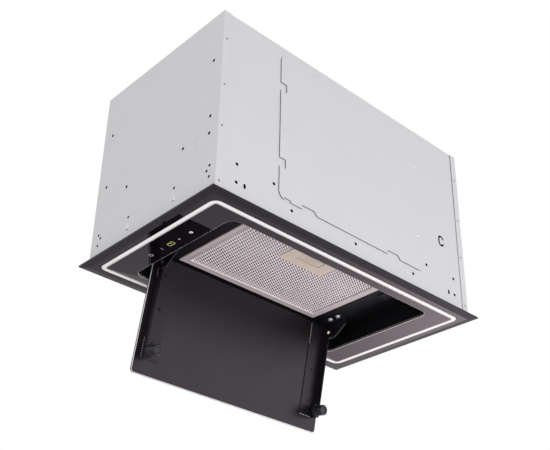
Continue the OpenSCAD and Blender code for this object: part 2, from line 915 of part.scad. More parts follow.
// A folded arm, drawn shut on the right: base strip, upright wall with the hinge ear, knob tab
module arm(side) {
    strip_top = panel_in + arm_strip_t;
    wall_top = panel_in + arm_wall_h;
    knob_x = arm_out - knob_in;
    color(black_steel_c) swung() on_side(-side) difference() {
        union() {
            block([arm_in, arm_front, panel_in], [arm_out, arm_back, strip_top]);
            wall_yz(arm_out - arm_t, arm_out) {
                translate([arm_front, panel_in]) square([hinge_y - arm_front - ear_base/2, arm_wall_h]);
                translate([arm_front, panel_in])
                    square([arm_back - arm_front, hinge_drop - ear_step]);
                translate([hinge_y, hinge_z]) circle(ear_r);
            }
            translate([0, 0, wall_top - arm_strip_t]) linear_extrude(arm_strip_t) {
                translate([knob_x, knob_y]) circle(tab_r);
                translate([knob_x, knob_y - tab_r]) square([arm_out - knob_x, 2*tab_r]);
            }
        }
        wall_yz(arm_out - arm_t - over, arm_out + over) {
            translate([hinge_y, hinge_z]) circle(pin_r);
            for (i = [0 : front_perf_count - 1])
                translate([arm_front + (i + 0.5)*perf_pitch, panel_in + perf_rise])
                    circle(perf_r, $fn = small_fn);
            for (i = [0 : back_perf_count - 1])
                translate([arm_back - (i + 2.5)*perf_pitch, panel_in + perf_rise])
                    circle(perf_r, $fn = small_fn);
        }
        translate([0, 0, panel_in - over]) linear_extrude(arm_strip_t + 2*over) {
            for (i = [0 : edge_perf_count - 1])
                translate([arm_in + (i + 0.5)*perf_pitch, arm_front]) circle(perf_r, $fn = small_fn);
            for (i = [1 : side_perf_count])
                translate([arm_in, arm_back - i*perf_pitch]) circle(perf_r, $fn = small_fn);
            for (y = arm_screw_y())
                translate([arm_in + arm_screw_in, y]) circle(arm_screw_r, $fn = small_fn);
        }
        translate([knob_x, knob_y, wall_top - arm_strip_t - over])
            cylinder(r = screw_r, h = arm_strip_t + 2*over, $fn = small_fn);
    }
}

module arm_left() {
    arm(-1);
}

module arm_right() {
    arm(1);
}

module arm_screws() {
    color(black_steel_c) swung() for (x = [-1, 1], y = arm_screw_y())
        translate([x*(arm_in + arm_screw_in), y, panel_in + arm_strip_t])
            pan_screw(arm_screw_r - fit/4, arm_screw_head_r, arm_screw_head_t, arm_strip_t);
}

// A catch knob stands on the arm's tab; a magnet in its tip meets the keeper
module catch_knob(side) {
    base = panel_in + arm_wall_h;
    color(plastic_c) swung() translate([side*(arm_out - knob_in), knob_y, base]) difference() {
        union() {
            cylinder(r = knob_skirt_r, h = knob_skirt_t);
            cylinder(r = knob_r, h = knob_tip - base - knob_bevel);
            translate([0, 0, knob_tip - base - knob_bevel])
                cylinder(r1 = knob_r, r2 = knob_r - knob_bevel, h = knob_bevel);
        }
        translate([0, 0, knob_tip - base - magnet_t/2]) cylinder(r = magnet_r, h = magnet_t);
        translate([0, 0, -over]) cylinder(r = screw_r, h = 2*knob_skirt_t + over, $fn = small_fn);
    }
}

module catch_knob_left() {
    catch_knob(-1);
}

module catch_knob_right() {
    catch_knob(1);
}

module hinge_pins() {
    inner = arm_out - arm_t;
    outer = bracket_in + bracket_t + moving;
    color(copper_c) swung() for (x = [-1, 1]) translate([0, hinge_y, hinge_z]) rotate([0, x*90, 0]) {
        translate([0, 0, inner - pin_head_t]) cylinder(r = pin_head_r, h = pin_head_t);
        translate([0, 0, inner]) cylinder(r = pin_r, h = outer - inner);
        translate([0, 0, outer]) cylinder(r = pin_head_r, h = pin_head_t);
    }
}

// Grease filter

module filter_frame() {
    w = filter_w;
    d = filter_d;
    color(alu_c) difference() {
        union() {
            block([-w/2, -d/2, filter_low], [w/2, d/2, filter_top]);
            for (x = [-1, 1])
                block([x*hook_x - hook_w/2 + moving, d/2 - filter_wall, shelf_top + tongue_rise],
                    [x*hook_x + hook_w/2 - moving, tilt_y + hook_l/2, shelf_top + tongue_rise + tongue_t]);
        }
        block([-w/2 + filter_border, -d/2 + filter_border, filter_low - over],
            [w/2 - filter_border, d/2 - filter_border, filter_top + over]);
        block([-w/2 + filter_wall, -d/2 + filter_wall, filter_low + filter_wall],
            [w/2 - filter_wall, d/2 - filter_wall, filter_top - filter_wall]);
        block([-bolt_w/2 - moving, -d/2 - over, bolt_low - moving/2],
            [bolt_w/2 + moving, -d/2 + filter_wall + over, bolt_low + bolt_t + moving/2]);
    }
    color(alu_c) difference() {
        block([-w/2 + filter_border - bead_w, -d/2 + filter_border - bead_w, filter_low - bead_t],
            [w/2 - filter_border + bead_w, d/2 - filter_border + bead_w, filter_low]);
        block([-w/2 + filter_border, -d/2 + filter_border, filter_low - bead_t - over],
            [w/2 - filter_border, d/2 - filter_border, filter_low + over]);
        block([-plate_w/2 - fit, -d/2, filter_low - bead_t - over],
            [plate_w/2 + fit, plate_front + plate_l + fit, filter_low + over]);
    }
}

// A sheet of slanted slots, as expanded metal has
module mesh_2d() {
    w = filter_w - 2*filter_wall - 2*fit;
    d = filter_d - 2*filter_wall - 2*fit;
    open_w = w - 2*filter_border;
    open_d = d - 2*filter_border;
    cell_w = open_w/mesh_cols;
    cell_d = open_d/mesh_rows;
    difference() {
        square([w, d], center = true);
        for (i = [0 : mesh_cols - 1], j = [0 : mesh_rows - 1])
            translate([(i + 0.5)*cell_w - open_w/2, (j + 0.5)*cell_d - open_d/2])
                mesh_slot(cell_w, cell_d);
    }
}

// One slanted slot, a lens with four sides
module mesh_slot(cell_w, cell_d) {
    half_l = (cell_w - mesh_strand)/2/cos(mesh_angle)*slot_l_share;
    half_w = (cell_d - mesh_strand)/2*cos(mesh_angle)*slot_w_share;
    rotate(mesh_angle) polygon([[-half_l, 0], [0, -half_w], [half_l, 0], [0, half_w]]);
}

module filter_mesh_lower() {
    color(alu_c) translate([0, 0, filter_low + filter_wall]) linear_extrude(mesh_t) difference() {
        mesh_2d();
        translate([-plate_w/2 - fit, -filter_d/2])
            square([plate_w + 2*fit, plate_front + plate_l + filter_d/2 + fit]);
    }
}

module filter_mesh_upper() {
    color(alu_c) translate([0, 0, filter_top - filter_wall - mesh_t]) linear_extrude(mesh_t) mesh_2d();
}

// Beige plate that carries the catch, with a recess for the fingers
module filter_catch_plate() {
    color(plate_c) difference() {
        block([-plate_w/2, plate_front, plate_low], [plate_w/2, plate_front + plate_l, plate_top]);
        block([-grip_w/2, grip_front, plate_low - over],
            [grip_w/2, grip_front + grip_l, plate_low + grip_depth]);
        block([-slider_w/2 - moving, plate_front - over, bolt_low - moving],
            [slider_w/2 + moving, plate_front + slider_l + 2*moving + tongue_t,
                bolt_low + bolt_t + moving]);
    }
}

// The catch slides forwards, over the shelf's edge, to lock the filter
module filter_catch_slider() {
    color(plastic_c) {
        block([-slider_w/2, plate_front + moving, bolt_low],
            [slider_w/2, plate_front + slider_l, bolt_low + bolt_t]);
        block([-bolt_w/2, -filter_d/2 + moving, bolt_low],
            [bolt_w/2, plate_front + moving, bolt_low + bolt_t]);
        block([-slider_w/2, slider_tab_y, plate_low + slider_tab_set],
            [slider_w/2, slider_tab_y + slider_tab_t, bolt_low]);
    }
}

// Blower

// Places a piece drawn along the shaft, with +Z towards the back
module at_shaft() {
    translate([blower_x, 0, blower_z]) rotate([-90, 0, 0]) children();
}

// Half of the scroll: its side plate with the inlet, and its share of the curved wall
module scroll_half(side) {
    half = scroll_w/2;
    color(zinc_c) translate([blower_x, 0, blower_z]) mirror([0, side > 0 ? 1 : 0, 0]) difference() {
        wall_xz(-half, -fit/2) polygon(scroll_points(wall_t));
        wall_xz(-half + wall_t, over) polygon(scroll_points(0));
        rotate([90, 0, 0]) cylinder(r = inlet_r, h = half + over);
        block([tongue_x, -half + wall_t, 0], [scroll_end, over, neck_top - blower_z + over]);
    }
}

module scroll_front_half() {
    scroll_half(-1);
}

module scroll_rear_half() {
    scroll_half(1);
}

// Bell-mouthed ring on an inlet, rolled outwards
module inlet_ring(side) {
    bell_x = inlet_r + bell_r;
    color(white_c) at_shaft() mirror([0, 0, side < 0 ? 1 : 0])
        translate([0, 0, scroll_w/2]) rotate_extrude() {
        difference() {
            translate([bell_x, 0]) circle(bell_r, $fn = small_fn*2);
            translate([bell_x, 0]) circle(bell_r - bell_t, $fn = small_fn*2);
            translate([bell_x, -bell_r - over]) square([bell_r + over, 2*bell_r + 2*over]);
            translate([bell_x - bell_r - over, -bell_r - over]) square([bell_r + 2*over, bell_r + over]);
        }
        translate([bell_x, bell_r - bell_t]) square([bell_flat, bell_t]);
        translate([bell_x + bell_flat - bell_t, 0]) square([bell_t, bell_r]);
    }
}

module inlet_ring_front() {
    inlet_ring(-1);
}

module inlet_ring_rear() {
    inlet_ring(1);
}

module motor() {
    color(zinc_c) at_shaft() difference() {
        union() {
            translate([0, 0, motor_front + motor_cap_t])
                cylinder(r = motor_r, h = motor_back - motor_front - 2*motor_cap_t);
            translate([0, 0, motor_front]) cylinder(r1 = motor_cap_r, r2 = motor_r, h = motor_cap_t);
            translate([0, 0, motor_back - motor_cap_t])
                cylinder(r1 = motor_r, r2 = motor_cap_r, h = motor_cap_t);
        }
        translate([0, 0, motor_back - motor_bore_l])
            cylinder(r = shaft_r + running, h = motor_bore_l + over);
    }
}

// Three-armed spider that holds the motor in the front inlet
module motor_bracket() {
    low = scroll_w/2 + bell_r + spider_rise;
    color(black_steel_c) at_shaft() mirror([0, 0, 1]) difference() {
        union() {
            translate([0, 0, low]) cylinder(r = motor_r + spider_t, h = spider_w);
            for (i = [0 : spider_arms - 1]) rotate([0, 0, i*360/spider_arms + 90]) {
                block([motor_r, -spider_w/2, low], [spider_foot_r + spider_t, spider_w/2, low + spider_t]);
                block([spider_foot_r, -spider_w/2, scroll_w/2],
                    [spider_foot_r + spider_t, spider_w/2, low + spider_t]);
            }
        }
        translate([0, 0, low - over]) cylinder(r = motor_r, h = spider_w + 2*over);
    }
}

// Ring of blades between two end rings, round the disc that drives it
module impeller_blades() {
    reach = scroll_w/2 - blade_end;
    color(zinc_c) at_shaft() {
        translate([0, 0, -reach]) linear_extrude(2*reach) for (i = [0 : blade_count - 1])
            rotate(i*360/blade_count) blade_2d();
        for (z = [-reach, reach - end_ring_t]) translate([0, 0, z]) difference() {
            cylinder(r = impeller_r, h = end_ring_t);
            translate([0, 0, -over]) cylinder(r = impeller_r - end_ring_w, h = end_ring_t + 2*over);
        }
    }
}

module impeller_disc() {
    color(zinc_c) at_shaft() difference() {
        union() {
            translate([0, 0, -hub_disc_t/2]) cylinder(r = blade_in - fit/2, h = hub_disc_t);
            cylinder(r = hub_r, h = hub_l);
        }
        translate([0, 0, -hub_disc_t]) cylinder(r = shaft_r, h = hub_l + 2*hub_disc_t);
    }
}

// One forward-curved blade: a thin arc from the inner to the outer radius
module blade_2d() {
    middle = blade_in + blade_span/2;
    difference() {
        intersection() {
            translate([middle, -blade_arc_drop]) circle(blade_arc_r);
            difference() {
                circle(impeller_r - fit/2);
                circle(blade_in);
            }
            translate([0, -over]) square([impeller_r, blade_span]);
        }
        translate([middle, -blade_arc_drop]) circle(blade_arc_r - blade_t);
    }
}

module motor_shaft() {
    color(zinc_c) at_shaft() translate([0, 0, motor_back - motor_bore_l + moving])
        cylinder(r = shaft_r, h = hub_l + over - motor_back + motor_bore_l - moving);
}

// Outlet

// A thin plate over the scroll's neck, and a thin round one under the collar, to loft between
module neck_plate(grow_x, grow_y, level) {
    translate([-neck_w/2 - grow_x, -scroll_w/2 - grow_y, level])
        cube([neck_w + 2*grow_x, scroll_w + 2*grow_y, loft_t]);
}

module round_plate(r, level) {
    translate([0, 0, level]) cylinder(r = r, h = loft_t, $fn = loft_fn);
}

// Sleeve over the scroll's neck, lofted into the round hole of the top panel
module outlet_adaptor() {
    inner_x = wall_t + fit;
    inner_y = fit;
    loft_low = neck_top;
    loft_high = casing_h - sheet_t - collar_flange_t;
    bore = collar_r - collar_t;
    color(white_c) difference() {
        union() {
            block([-neck_w/2 - inner_x - wall_t, -scroll_w/2 - inner_y - wall_t, adaptor_base],
                [neck_w/2 + inner_x + wall_t, scroll_w/2 + inner_y + wall_t, loft_low]);
            hull() {
                neck_plate(inner_x + wall_t + fit, inner_y + wall_t + fit, loft_low - wall_t);
                round_plate(collar_r, loft_high);
            }
            translate([0, 0, loft_high]) cylinder(r = collar_flange_r, h = collar_flange_t);
        }
        block([-neck_w/2 - inner_x, -scroll_w/2 - inner_y, adaptor_base - over],
            [neck_w/2 + inner_x, scroll_w/2 + inner_y, loft_low]);
        hull() {
            neck_plate(0, -wall_t, loft_low - wall_t/2);
            round_plate(bore - fit, loft_high + 2*loft_t);
        }
        translate([0, 0, loft_high]) cylinder(r = bore, h = collar_flange_t + over);
    }
}

module outlet_collar() {
    color(white_c) difference() {
        union() {
            translate([0, 0, casing_h]) cylinder(r = collar_r, h = collar_h);
            translate([0, 0, casing_h]) cylinder(r = collar_flange_r, h = collar_flange_t);
        }
        translate([0, 0, casing_h - over]) cylinder(r = collar_r - collar_t, h = collar_h + 2*over);
        for (x = [-flap_pin_x, flap_pin_x]) translate([x, 0, flap_z]) rotate([90, 0, 0])
            cylinder(r = flap_pin_r + running, h = 2*collar_r + 2*over, center = true,
                $fn = small_fn);
    }
}

module damper_pins() {
    color(zinc_c) for (x = [-flap_pin_x, flap_pin_x]) translate([x, 0, flap_z]) rotate([90, 0, 0])
        cylinder(r = flap_pin_r, h = 2*sqrt(collar_r*collar_r - flap_pin_x*flap_pin_x) - 2*pin_set,
            center = true, $fn = small_fn);
}

// Half-round flap that lies shut and turns up about its pin
module damper_flap(side) {
    bore_r = flap_pin_r + running;
    flap_r = collar_r - collar_t - flap_gap;
    color(plastic_c) on_side(side) difference() {
        union() {
            translate([0, 0, flap_z - flap_t/2]) linear_extrude(flap_t) intersection() {
                circle(flap_r);
                translate([-flap_r, -flap_r]) square([flap_r - flap_pin_x, 2*flap_r]);
            }
            for (y = [-flap_eye_y, flap_eye_y]) translate([-flap_pin_x, y, flap_z]) rotate([90, 0, 0])
                cylinder(r = flap_eye_r, h = flap_eye_l, center = true, $fn = small_fn);
        }
        translate([-flap_pin_x, 0, flap_z]) rotate([90, 0, 0])
            cylinder(r = bore_r, h = 2*collar_r, center = true, $fn = small_fn);
    }
}

module damper_flap_left() {
    damper_flap(-1);
}

module damper_flap_right() {
    damper_flap(1);
}

// Electronics

module electronics_tray() {
    low = [tray_x - tray_depth, tray_y - tray_l/2, tray_z - tray_h/2];
    high = [tray_x, tray_y + tray_l/2, tray_z + tray_h/2];
    rim = tray_t*[0, 1, 1];
    color(plastic_c) difference() {
        block(low, high);
        block(low + rim - [over, 0, 0], high - rim - [tray_t, 0, 0]);
    }
}

module electronics_lid() {
    color(white_c) block([tray_x - tray_depth - tray_t, tray_y - tray_l/2, tray_z - tray_h/2],
        [tray_x - tray_depth, tray_y + tray_l/2, tray_z + tray_h/2]);
}

module power_board() {
    rim = tray_t + fit;
    back = tray_x - tray_t;
    color(board_c) {
        block([back - board_stand - power_board_t, tray_y - tray_l/2 + rim, tray_z - tray_h/2 + rim],
            [back - board_stand, tray_y + tray_l/2 - rim, tray_z + tray_h/2 - rim]);
        for (y = [-1, 1], z = [-1, 1])
            translate([back - board_stand, tray_y + y*tray_l*stand_y_share,
                tray_z + z*tray_h*stand_z_share]) rotate([0, 90, 0])
                cylinder(r = screw_r, h = board_stand, $fn = small_fn);
    }
}

module terminal_block() {
    face = tray_x - tray_t - board_stand - power_board_t;
    color(white_c) translate([face - terminal_h/2, tray_y + tray_l/4, tray_z - tray_h/4])
        cube([terminal_h, terminal_w, terminal_l], center = true);
}

module motor_capacitor() {
    face = tray_x - tray_t - board_stand - power_board_t;
    color(white_c) translate([face - cap_r, tray_y - tray_l/5, tray_z])
        cylinder(r = cap_r, h = cap_l, center = true);
}

module cable_gland() {
    color(plastic_c) translate([gland_x, gland_y, casing_h]) difference() {
        union() {
            translate([0, 0, -gland_down]) cylinder(r = gland_r - fit/2, h = gland_down + gland_up);
            cylinder(r = gland_nut_r, h = gland_nut_t, $fn = 6);
            translate([0, 0, -sheet_t - gland_nut_t]) cylinder(r = gland_nut_r, h = gland_nut_t, $fn = 6);
        }
        translate([0, 0, -gland_down - over])
            cylinder(r = gland_bore_r, h = gland_down + gland_up + 2*over);
    }
}

outer_glass_frame();
inner_glass_frame();
light_diffuser();
led_strip();
carrier_frame();
cavity_tub();
left_side_panel();
right_side_panel();
front_panel();
back_panel();
top_panel();
seam_rivets();
side_screws();
hole_plug();
service_cover();
service_cover_screws();
control_housing();
control_board();
digit_display();
touch_pads();
hinge_bracket_left();
hinge_bracket_right();
hinge_bracket_screws();
catch_keepers();
filter_hook_clips();
scroll_front_half();
scroll_rear_half();
inlet_ring_front();
inlet_ring_rear();
motor();
motor_bracket();
outlet_adaptor();
outlet_collar();
damper_pins();
electronics_tray();
electronics_lid();
power_board();
terminal_block();
motor_capacitor();
cable_gland();
panel_glass();
panel_sheet();
arm_left();
arm_right();
arm_screws();
catch_knob_left();
catch_knob_right();
hinge_pins();
filter_frame();
filter_mesh_lower();
filter_mesh_upper();
filter_catch_plate();
filter_catch_slider();
impeller_blades();
impeller_disc();
motor_shaft();
damper_flap_left();
damper_flap_right();
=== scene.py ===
"""A built-in range hood with a lit glass flange and a suction panel that hangs open.

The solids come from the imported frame. This script gives them their finishes, puts fine
geometry where the solids are plain, and sets up the studio and the camera. All lengths
are in metres, in the frame of the part: +X right, +Y to the wall, +Z up.
"""

from __future__ import annotations

import json
import logging
import math
from dataclasses import dataclass, field
from enum import Enum, IntEnum
from typing import ClassVar, Iterable, Sequence

import bmesh
import bpy
from mathutils import Matrix, Vector

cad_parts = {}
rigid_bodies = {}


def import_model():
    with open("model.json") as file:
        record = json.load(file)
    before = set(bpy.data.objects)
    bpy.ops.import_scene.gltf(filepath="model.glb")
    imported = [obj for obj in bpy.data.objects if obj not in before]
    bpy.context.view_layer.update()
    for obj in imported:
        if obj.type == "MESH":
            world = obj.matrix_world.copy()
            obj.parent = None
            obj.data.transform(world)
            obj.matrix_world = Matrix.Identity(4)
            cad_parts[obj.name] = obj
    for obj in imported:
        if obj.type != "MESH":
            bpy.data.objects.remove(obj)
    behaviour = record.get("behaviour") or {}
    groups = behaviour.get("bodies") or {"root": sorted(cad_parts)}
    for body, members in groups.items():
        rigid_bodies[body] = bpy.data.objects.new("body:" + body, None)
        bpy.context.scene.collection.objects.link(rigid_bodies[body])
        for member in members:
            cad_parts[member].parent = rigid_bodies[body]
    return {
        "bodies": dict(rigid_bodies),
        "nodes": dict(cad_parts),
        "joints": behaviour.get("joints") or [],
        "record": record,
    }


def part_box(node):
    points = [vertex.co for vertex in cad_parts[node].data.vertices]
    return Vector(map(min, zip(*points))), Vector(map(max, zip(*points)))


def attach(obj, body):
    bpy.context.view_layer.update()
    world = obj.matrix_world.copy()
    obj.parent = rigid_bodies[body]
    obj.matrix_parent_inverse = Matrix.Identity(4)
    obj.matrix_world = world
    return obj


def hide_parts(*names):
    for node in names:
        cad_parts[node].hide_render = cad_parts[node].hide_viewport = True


log = logging.getLogger("range_hood")

MM = 0.001
SQUARE_MM = MM * MM
IMAGE_WIDTH = 550
IMAGE_HEIGHT = 450

Colour = tuple[float, float, float]
Box = tuple[Vector, Vector]

WHITE: Colour = (1.0, 1.0, 1.0)
RIGHT = Vector((1.0, 0.0, 0.0))
BACK = Vector((0.0, 1.0, 0.0))
UP = Vector((0.0, 0.0, 1.0))
SIDEWAYS = Matrix.Rotation(math.radians(90.0), 4, "Y")

# How close places and directions are when they count as the same.
SAME_POINT = 0.002 * MM
SAME_LEVEL = 0.05 * MM
FLUSH = 0.1 * MM
FLAT_WITHIN = math.radians(0.6)
SQUARE_ON = 0.99
FACING = 0.5

# The grain that the finishes share.
GRAIN_DETAIL = 3.0
GRAIN_MIDDLE = 0.5
GRAIN_HEIGHT = 0.2 * MM
BRUSHED_SCALE = (0.05, 1.0, 1.0)


class Body(str, Enum):
    """The rigid bodies that new pieces move with, by their names in the frame."""

    CASING = "casing"
    PANEL = "suction_panel"
    FILTER = "grease_filter"
    LATCH = "filter_latch"


class Grain(Enum):
    """How the small unevenness of a finish runs over the surface."""

    SMOOTH = "smooth"
    MOTTLED = "mottled"
    BRUSHED = "brushed"


class Shade(IntEnum):
    """How much painted shade a face of a casing wall gets, as the number of its material."""

    LIT = 0
    DARK = 1
    SEAM = 2


def srgb(red: int, green: int, blue: int) -> Colour:
    """Turns a screen colour into the linear one that shaders take.

    Args:
        red: Red, 0 to 255.
        green: Green, 0 to 255.
        blue: Blue, 0 to 255.

    Returns:
        The linear colour.
    """

    def linear(value: int) -> float:
        """The linear value of one channel."""
        share = value / 255
        return share / 12.92 if share <= 0.04045 else ((share + 0.055) / 1.055) ** 2.4

    return linear(red), linear(green), linear(blue)


def set_inputs(node: bpy.types.Node, values: dict[str, float | tuple[float, ...]]) -> None:
    """Sets some inputs of a shader node.

    Args:
        node: The node.
        values: The inputs' values, by their names.
    """
    for name, value in values.items():
        node.inputs[name].default_value = value


def math_node(
    tree: bpy.types.NodeTree, operation: str, *inputs: bpy.types.NodeSocket | float
) -> bpy.types.NodeSocket:
    """Adds a Math node.

    Args:
        tree: The nodes that it joins.
        operation: What it works out.
        inputs: Its inputs in order, each an output to link or a number.

    Returns:
        Its output.
    """
    node = tree.nodes.new("ShaderNodeMath")
    node.operation = operation
    for socket, given in zip(node.inputs, inputs):
        if isinstance(given, bpy.types.NodeSocket):
            tree.links.new(given, socket)
        else:
            socket.default_value = given
    return node.outputs[0]


def surface_grain_group() -> bpy.types.NodeTree:
    """Builds the effect shared by the finishes: a faint change of tone, gloss and height.

    Returns:
        The node group, built once.
    """
    name = "surface_grain"
    if name in bpy.data.node_groups:
        return bpy.data.node_groups[name]
    tree = bpy.data.node_groups.new(name, "ShaderNodeTree")
    links = tree.links
    for way, kind, sockets in (
        ("INPUT", "NodeSocketVector", ("Vector",)),
        ("INPUT", "NodeSocketFloat", ("Scale", "Tone", "Roughness", "Spread")),
        ("INPUT", "NodeSocketColor", ("Base",)),
        ("OUTPUT", "NodeSocketColor", ("Colour",)),
        ("OUTPUT", "NodeSocketFloat", ("Gloss", "Height")),
    ):
        for socket in sockets:
            tree.interface.new_socket(socket, in_out=way, socket_type=kind)
    inside = tree.nodes.new("NodeGroupInput").outputs
    outside = tree.nodes.new("NodeGroupOutput").inputs
    noise = tree.nodes.new("ShaderNodeTexNoise")
    noise.inputs["Detail"].default_value = GRAIN_DETAIL
    links.new(inside["Vector"], noise.inputs["Vector"])
    links.new(inside["Scale"], noise.inputs["Scale"])
    centred = math_node(tree, "SUBTRACT", noise.outputs["Fac"], GRAIN_MIDDLE)
    tone = math_node(tree, "MULTIPLY_ADD", centred, inside["Tone"], 1.0)
    gloss = math_node(tree, "MULTIPLY_ADD", centred, inside["Spread"], inside["Roughness"])
    shade = tree.nodes.new("ShaderNodeVectorMath")
    shade.operation = "SCALE"
    links.new(inside["Base"], shade.inputs[0])
    links.new(tone, shade.inputs["Scale"])
    links.new(shade.outputs[0], outside["Colour"])
    links.new(gloss, outside["Gloss"])
    links.new(noise.outputs["Fac"], outside["Height"])
    return tree


@dataclass(frozen=True)
class Finish:
    """A solid surface: its colour, gloss and the grain that runs over it."""

    name: str
    colour: Colour
    roughness: float = 0.5
    metallic: float = 0.0
    ior: float = 1.5
    grain: Grain = Grain.MOTTLED
    grain_scale: float = 60.0
    tone: float = 0.06
    spread: float = 0.08
    bump: float = 0.0
    glow: float = 0.0
    shine: float = 0.5
    shine_tint: Colour = WHITE

    def material(self) -> bpy.types.Material:
        """Builds the material, or finds it if it has been built.

        Returns:
            The material.
        """
        if self.name in bpy.data.materials:
            return bpy.data.materials[self.name]
        made = bpy.data.materials.new(self.name)
        made.use_nodes = True
        colour = (*self.colour, 1.0)
        made.diffuse_color = colour
        shader = made.node_tree.nodes["Principled BSDF"]
        set_inputs(shader, {
            "Base Color": colour,
            "Metallic": self.metallic,
            "Roughness": self.roughness,
            "IOR": self.ior,
            "Specular IOR Level": self.shine,
            "Specular Tint": (*self.shine_tint, 1.0),
        })
        if self.glow > 0:
            set_inputs(shader, {"Emission Color": colour, "Emission Strength": self.glow})
        if self.grain is not Grain.SMOOTH:
            self._add_grain(made.node_tree, shader)
        return made

    def _add_grain(self, tree: bpy.types.NodeTree, shader: bpy.types.ShaderNode) -> None:
        """Places the shared grain in this material.

        Args:
            tree: The material's nodes.
            shader: Its Principled BSDF.
        """
        links = tree.links
        place = tree.nodes.new("ShaderNodeTexCoord")
        stretch = tree.nodes.new("ShaderNodeMapping")
        if self.grain is Grain.BRUSHED:
            stretch.inputs["Scale"].default_value = BRUSHED_SCALE
        links.new(place.outputs["Object"], stretch.inputs["Vector"])
        group = tree.nodes.new("ShaderNodeGroup")
        group.node_tree = surface_grain_group()
        set_inputs(group, {
            "Scale": self.grain_scale,
            "Tone": self.tone,
            "Roughness": self.roughness,
            "Spread": self.spread,
            "Base": (*self.colour, 1.0),
        })
        links.new(stretch.outputs["Vector"], group.inputs["Vector"])
        links.new(group.outputs["Colour"], shader.inputs["Base Color"])
        links.new(group.outputs["Gloss"], shader.inputs["Roughness"])
        if self.bump > 0:
            relief = tree.nodes.new("ShaderNodeBump")
            set_inputs(relief, {"Strength": self.bump, "Distance": GRAIN_HEIGHT})
            links.new(group.outputs["Height"], relief.inputs["Height"])
            links.new(relief.outputs["Normal"], shader.inputs["Normal"])


COAT_TINT: Colour = (0.96, 0.88, 1.0)

ZINC_SHEET = Finish("zinc sheet", srgb(203, 203, 206), 0.55, 0.2, grain_scale=14.0, tone=0.05)
# Painted shade: near black on the casing's inner faces and in its holes, where shade falls.
CASING_PAINTED_SHADE = Finish("painted shade in the casing", srgb(14, 14, 16), 0.9, shine=0.1)
# Painted highlight: near white on the narrow sides of the hole plug.
PLUG_PAINTED_HIGHLIGHT = Finish("painted highlight on the plug's rim", srgb(244, 244, 243), 0.4, grain=Grain.SMOOTH)
# Painted shade: mid grey on the casing's seams and inside the rim of the hole plug.
PAINTED_MID_SHADE = Finish("painted mid shade", srgb(150, 149, 151), 0.6)
BLOWER_ZINC = Finish("blower zinc", srgb(128, 129, 133), 0.45, 0.3, grain_scale=40.0)
BRIGHT_ZINC = Finish("bright zinc", srgb(222, 224, 230), 0.3, 0.5, grain_scale=300.0)
RIVET_COPPER = Finish("coppered rivet", srgb(136, 116, 116), 0.45, 0.3, grain_scale=300.0)
CAVITY_COAT = Finish(
    "powder coat of the cavity", srgb(12, 11, 14), 0.5, grain_scale=900.0, bump=0.1, shine=0.2,
    shine_tint=COAT_TINT,
)
POWDER_COAT = Finish(
    "black powder coat", srgb(20, 18, 23), 0.42, grain_scale=900.0, bump=0.1, shine=0.3,
    shine_tint=COAT_TINT,
)
# Painted highlight: grey on the rounded edges of the black sheet parts and on the pin tips in
# shade.
DIM_PAINTED_HIGHLIGHT = Finish("dim painted highlight", srgb(82, 78, 86), 0.4, grain=Grain.SMOOTH)
PANEL_COAT = Finish(
    "satin black sheet", srgb(20, 17, 20), 0.36, grain_scale=30.0, tone=0.1, shine=0.3,
    shine_tint=(0.97, 0.83, 1.0),
)
BLACK_GLASS = Finish(
    "black glass", srgb(11, 7, 14), 0.02, ior=1.42, grain=Grain.SMOOTH,
    shine_tint=(0.95, 0.75, 1.0),
)
CLEAR_MARGIN = Finish(
    "unbacked margin of the glass", srgb(7, 6, 10), 0.02, ior=1.42, grain=Grain.SMOOTH,
    shine_tint=(0.92, 0.78, 1.0),
)
GLASS_SIDE = Finish("cut side of the glass", srgb(62, 64, 64), 0.2, grain=Grain.SMOOTH)
# Painted highlight: light grey on the polished arris of the black glass.
ARRIS_PAINTED_HIGHLIGHT = Finish("painted highlight on the polished arris", srgb(205, 198, 198), 0.25, grain=Grain.SMOOTH)
# Painted highlight: near white discs at the small holes of the arms.
HOLE_PAINTED_HIGHLIGHT = Finish("painted highlight at the holes", srgb(232, 229, 230), 0.4, grain=Grain.SMOOTH)
LIGHT_RING = Finish("lit diffuser", srgb(218, 216, 217), 0.4, grain=Grain.SMOOTH, glow=0.2)
FILTER_ALU = Finish(
    "filter aluminium", srgb(198, 185, 190), 0.42, 0.2, grain=Grain.BRUSHED, grain_scale=400.0
)
MESH_ALU = Finish("expanded aluminium", srgb(250, 238, 242), 0.35, grain_scale=500.0)
# Painted shade: the upper mesh is the same aluminium, darkened where it lies in shade.
INNER_MESH_PAINTED_SHADE = Finish("inner mesh in painted shade", srgb(108, 98, 100), 0.6, grain_scale=500.0)
# Painted highlight: a lighter copy of the filter's aluminium on the lips round its window.
LIP_PAINTED_HIGHLIGHT = Finish("painted highlight on the filter's lips", srgb(250, 244, 247), 0.3, grain_scale=300.0)
BEIGE_MOULDING = Finish("beige moulding", srgb(204, 190, 177), grain_scale=200.0)
BLACK_MOULDING = Finish(
    "black moulding", srgb(15, 14, 20), 0.4, grain_scale=700.0, bump=0.15, shine=0.4,
    shine_tint=(0.95, 0.9, 1.0),
)
WHITE_MOULDING = Finish("white moulding", srgb(222, 221, 216), grain_scale=200.0)
MOTOR_PAINT = Finish("motor paint", srgb(88, 90, 94), 0.45, grain_scale=300.0)
BOARD_GREEN = Finish("circuit board", srgb(35, 92, 60), 0.35, grain_scale=300.0)
SOFT_PAD = Finish("contact pad", srgb(60, 60, 64), 0.7, grain_scale=300.0)
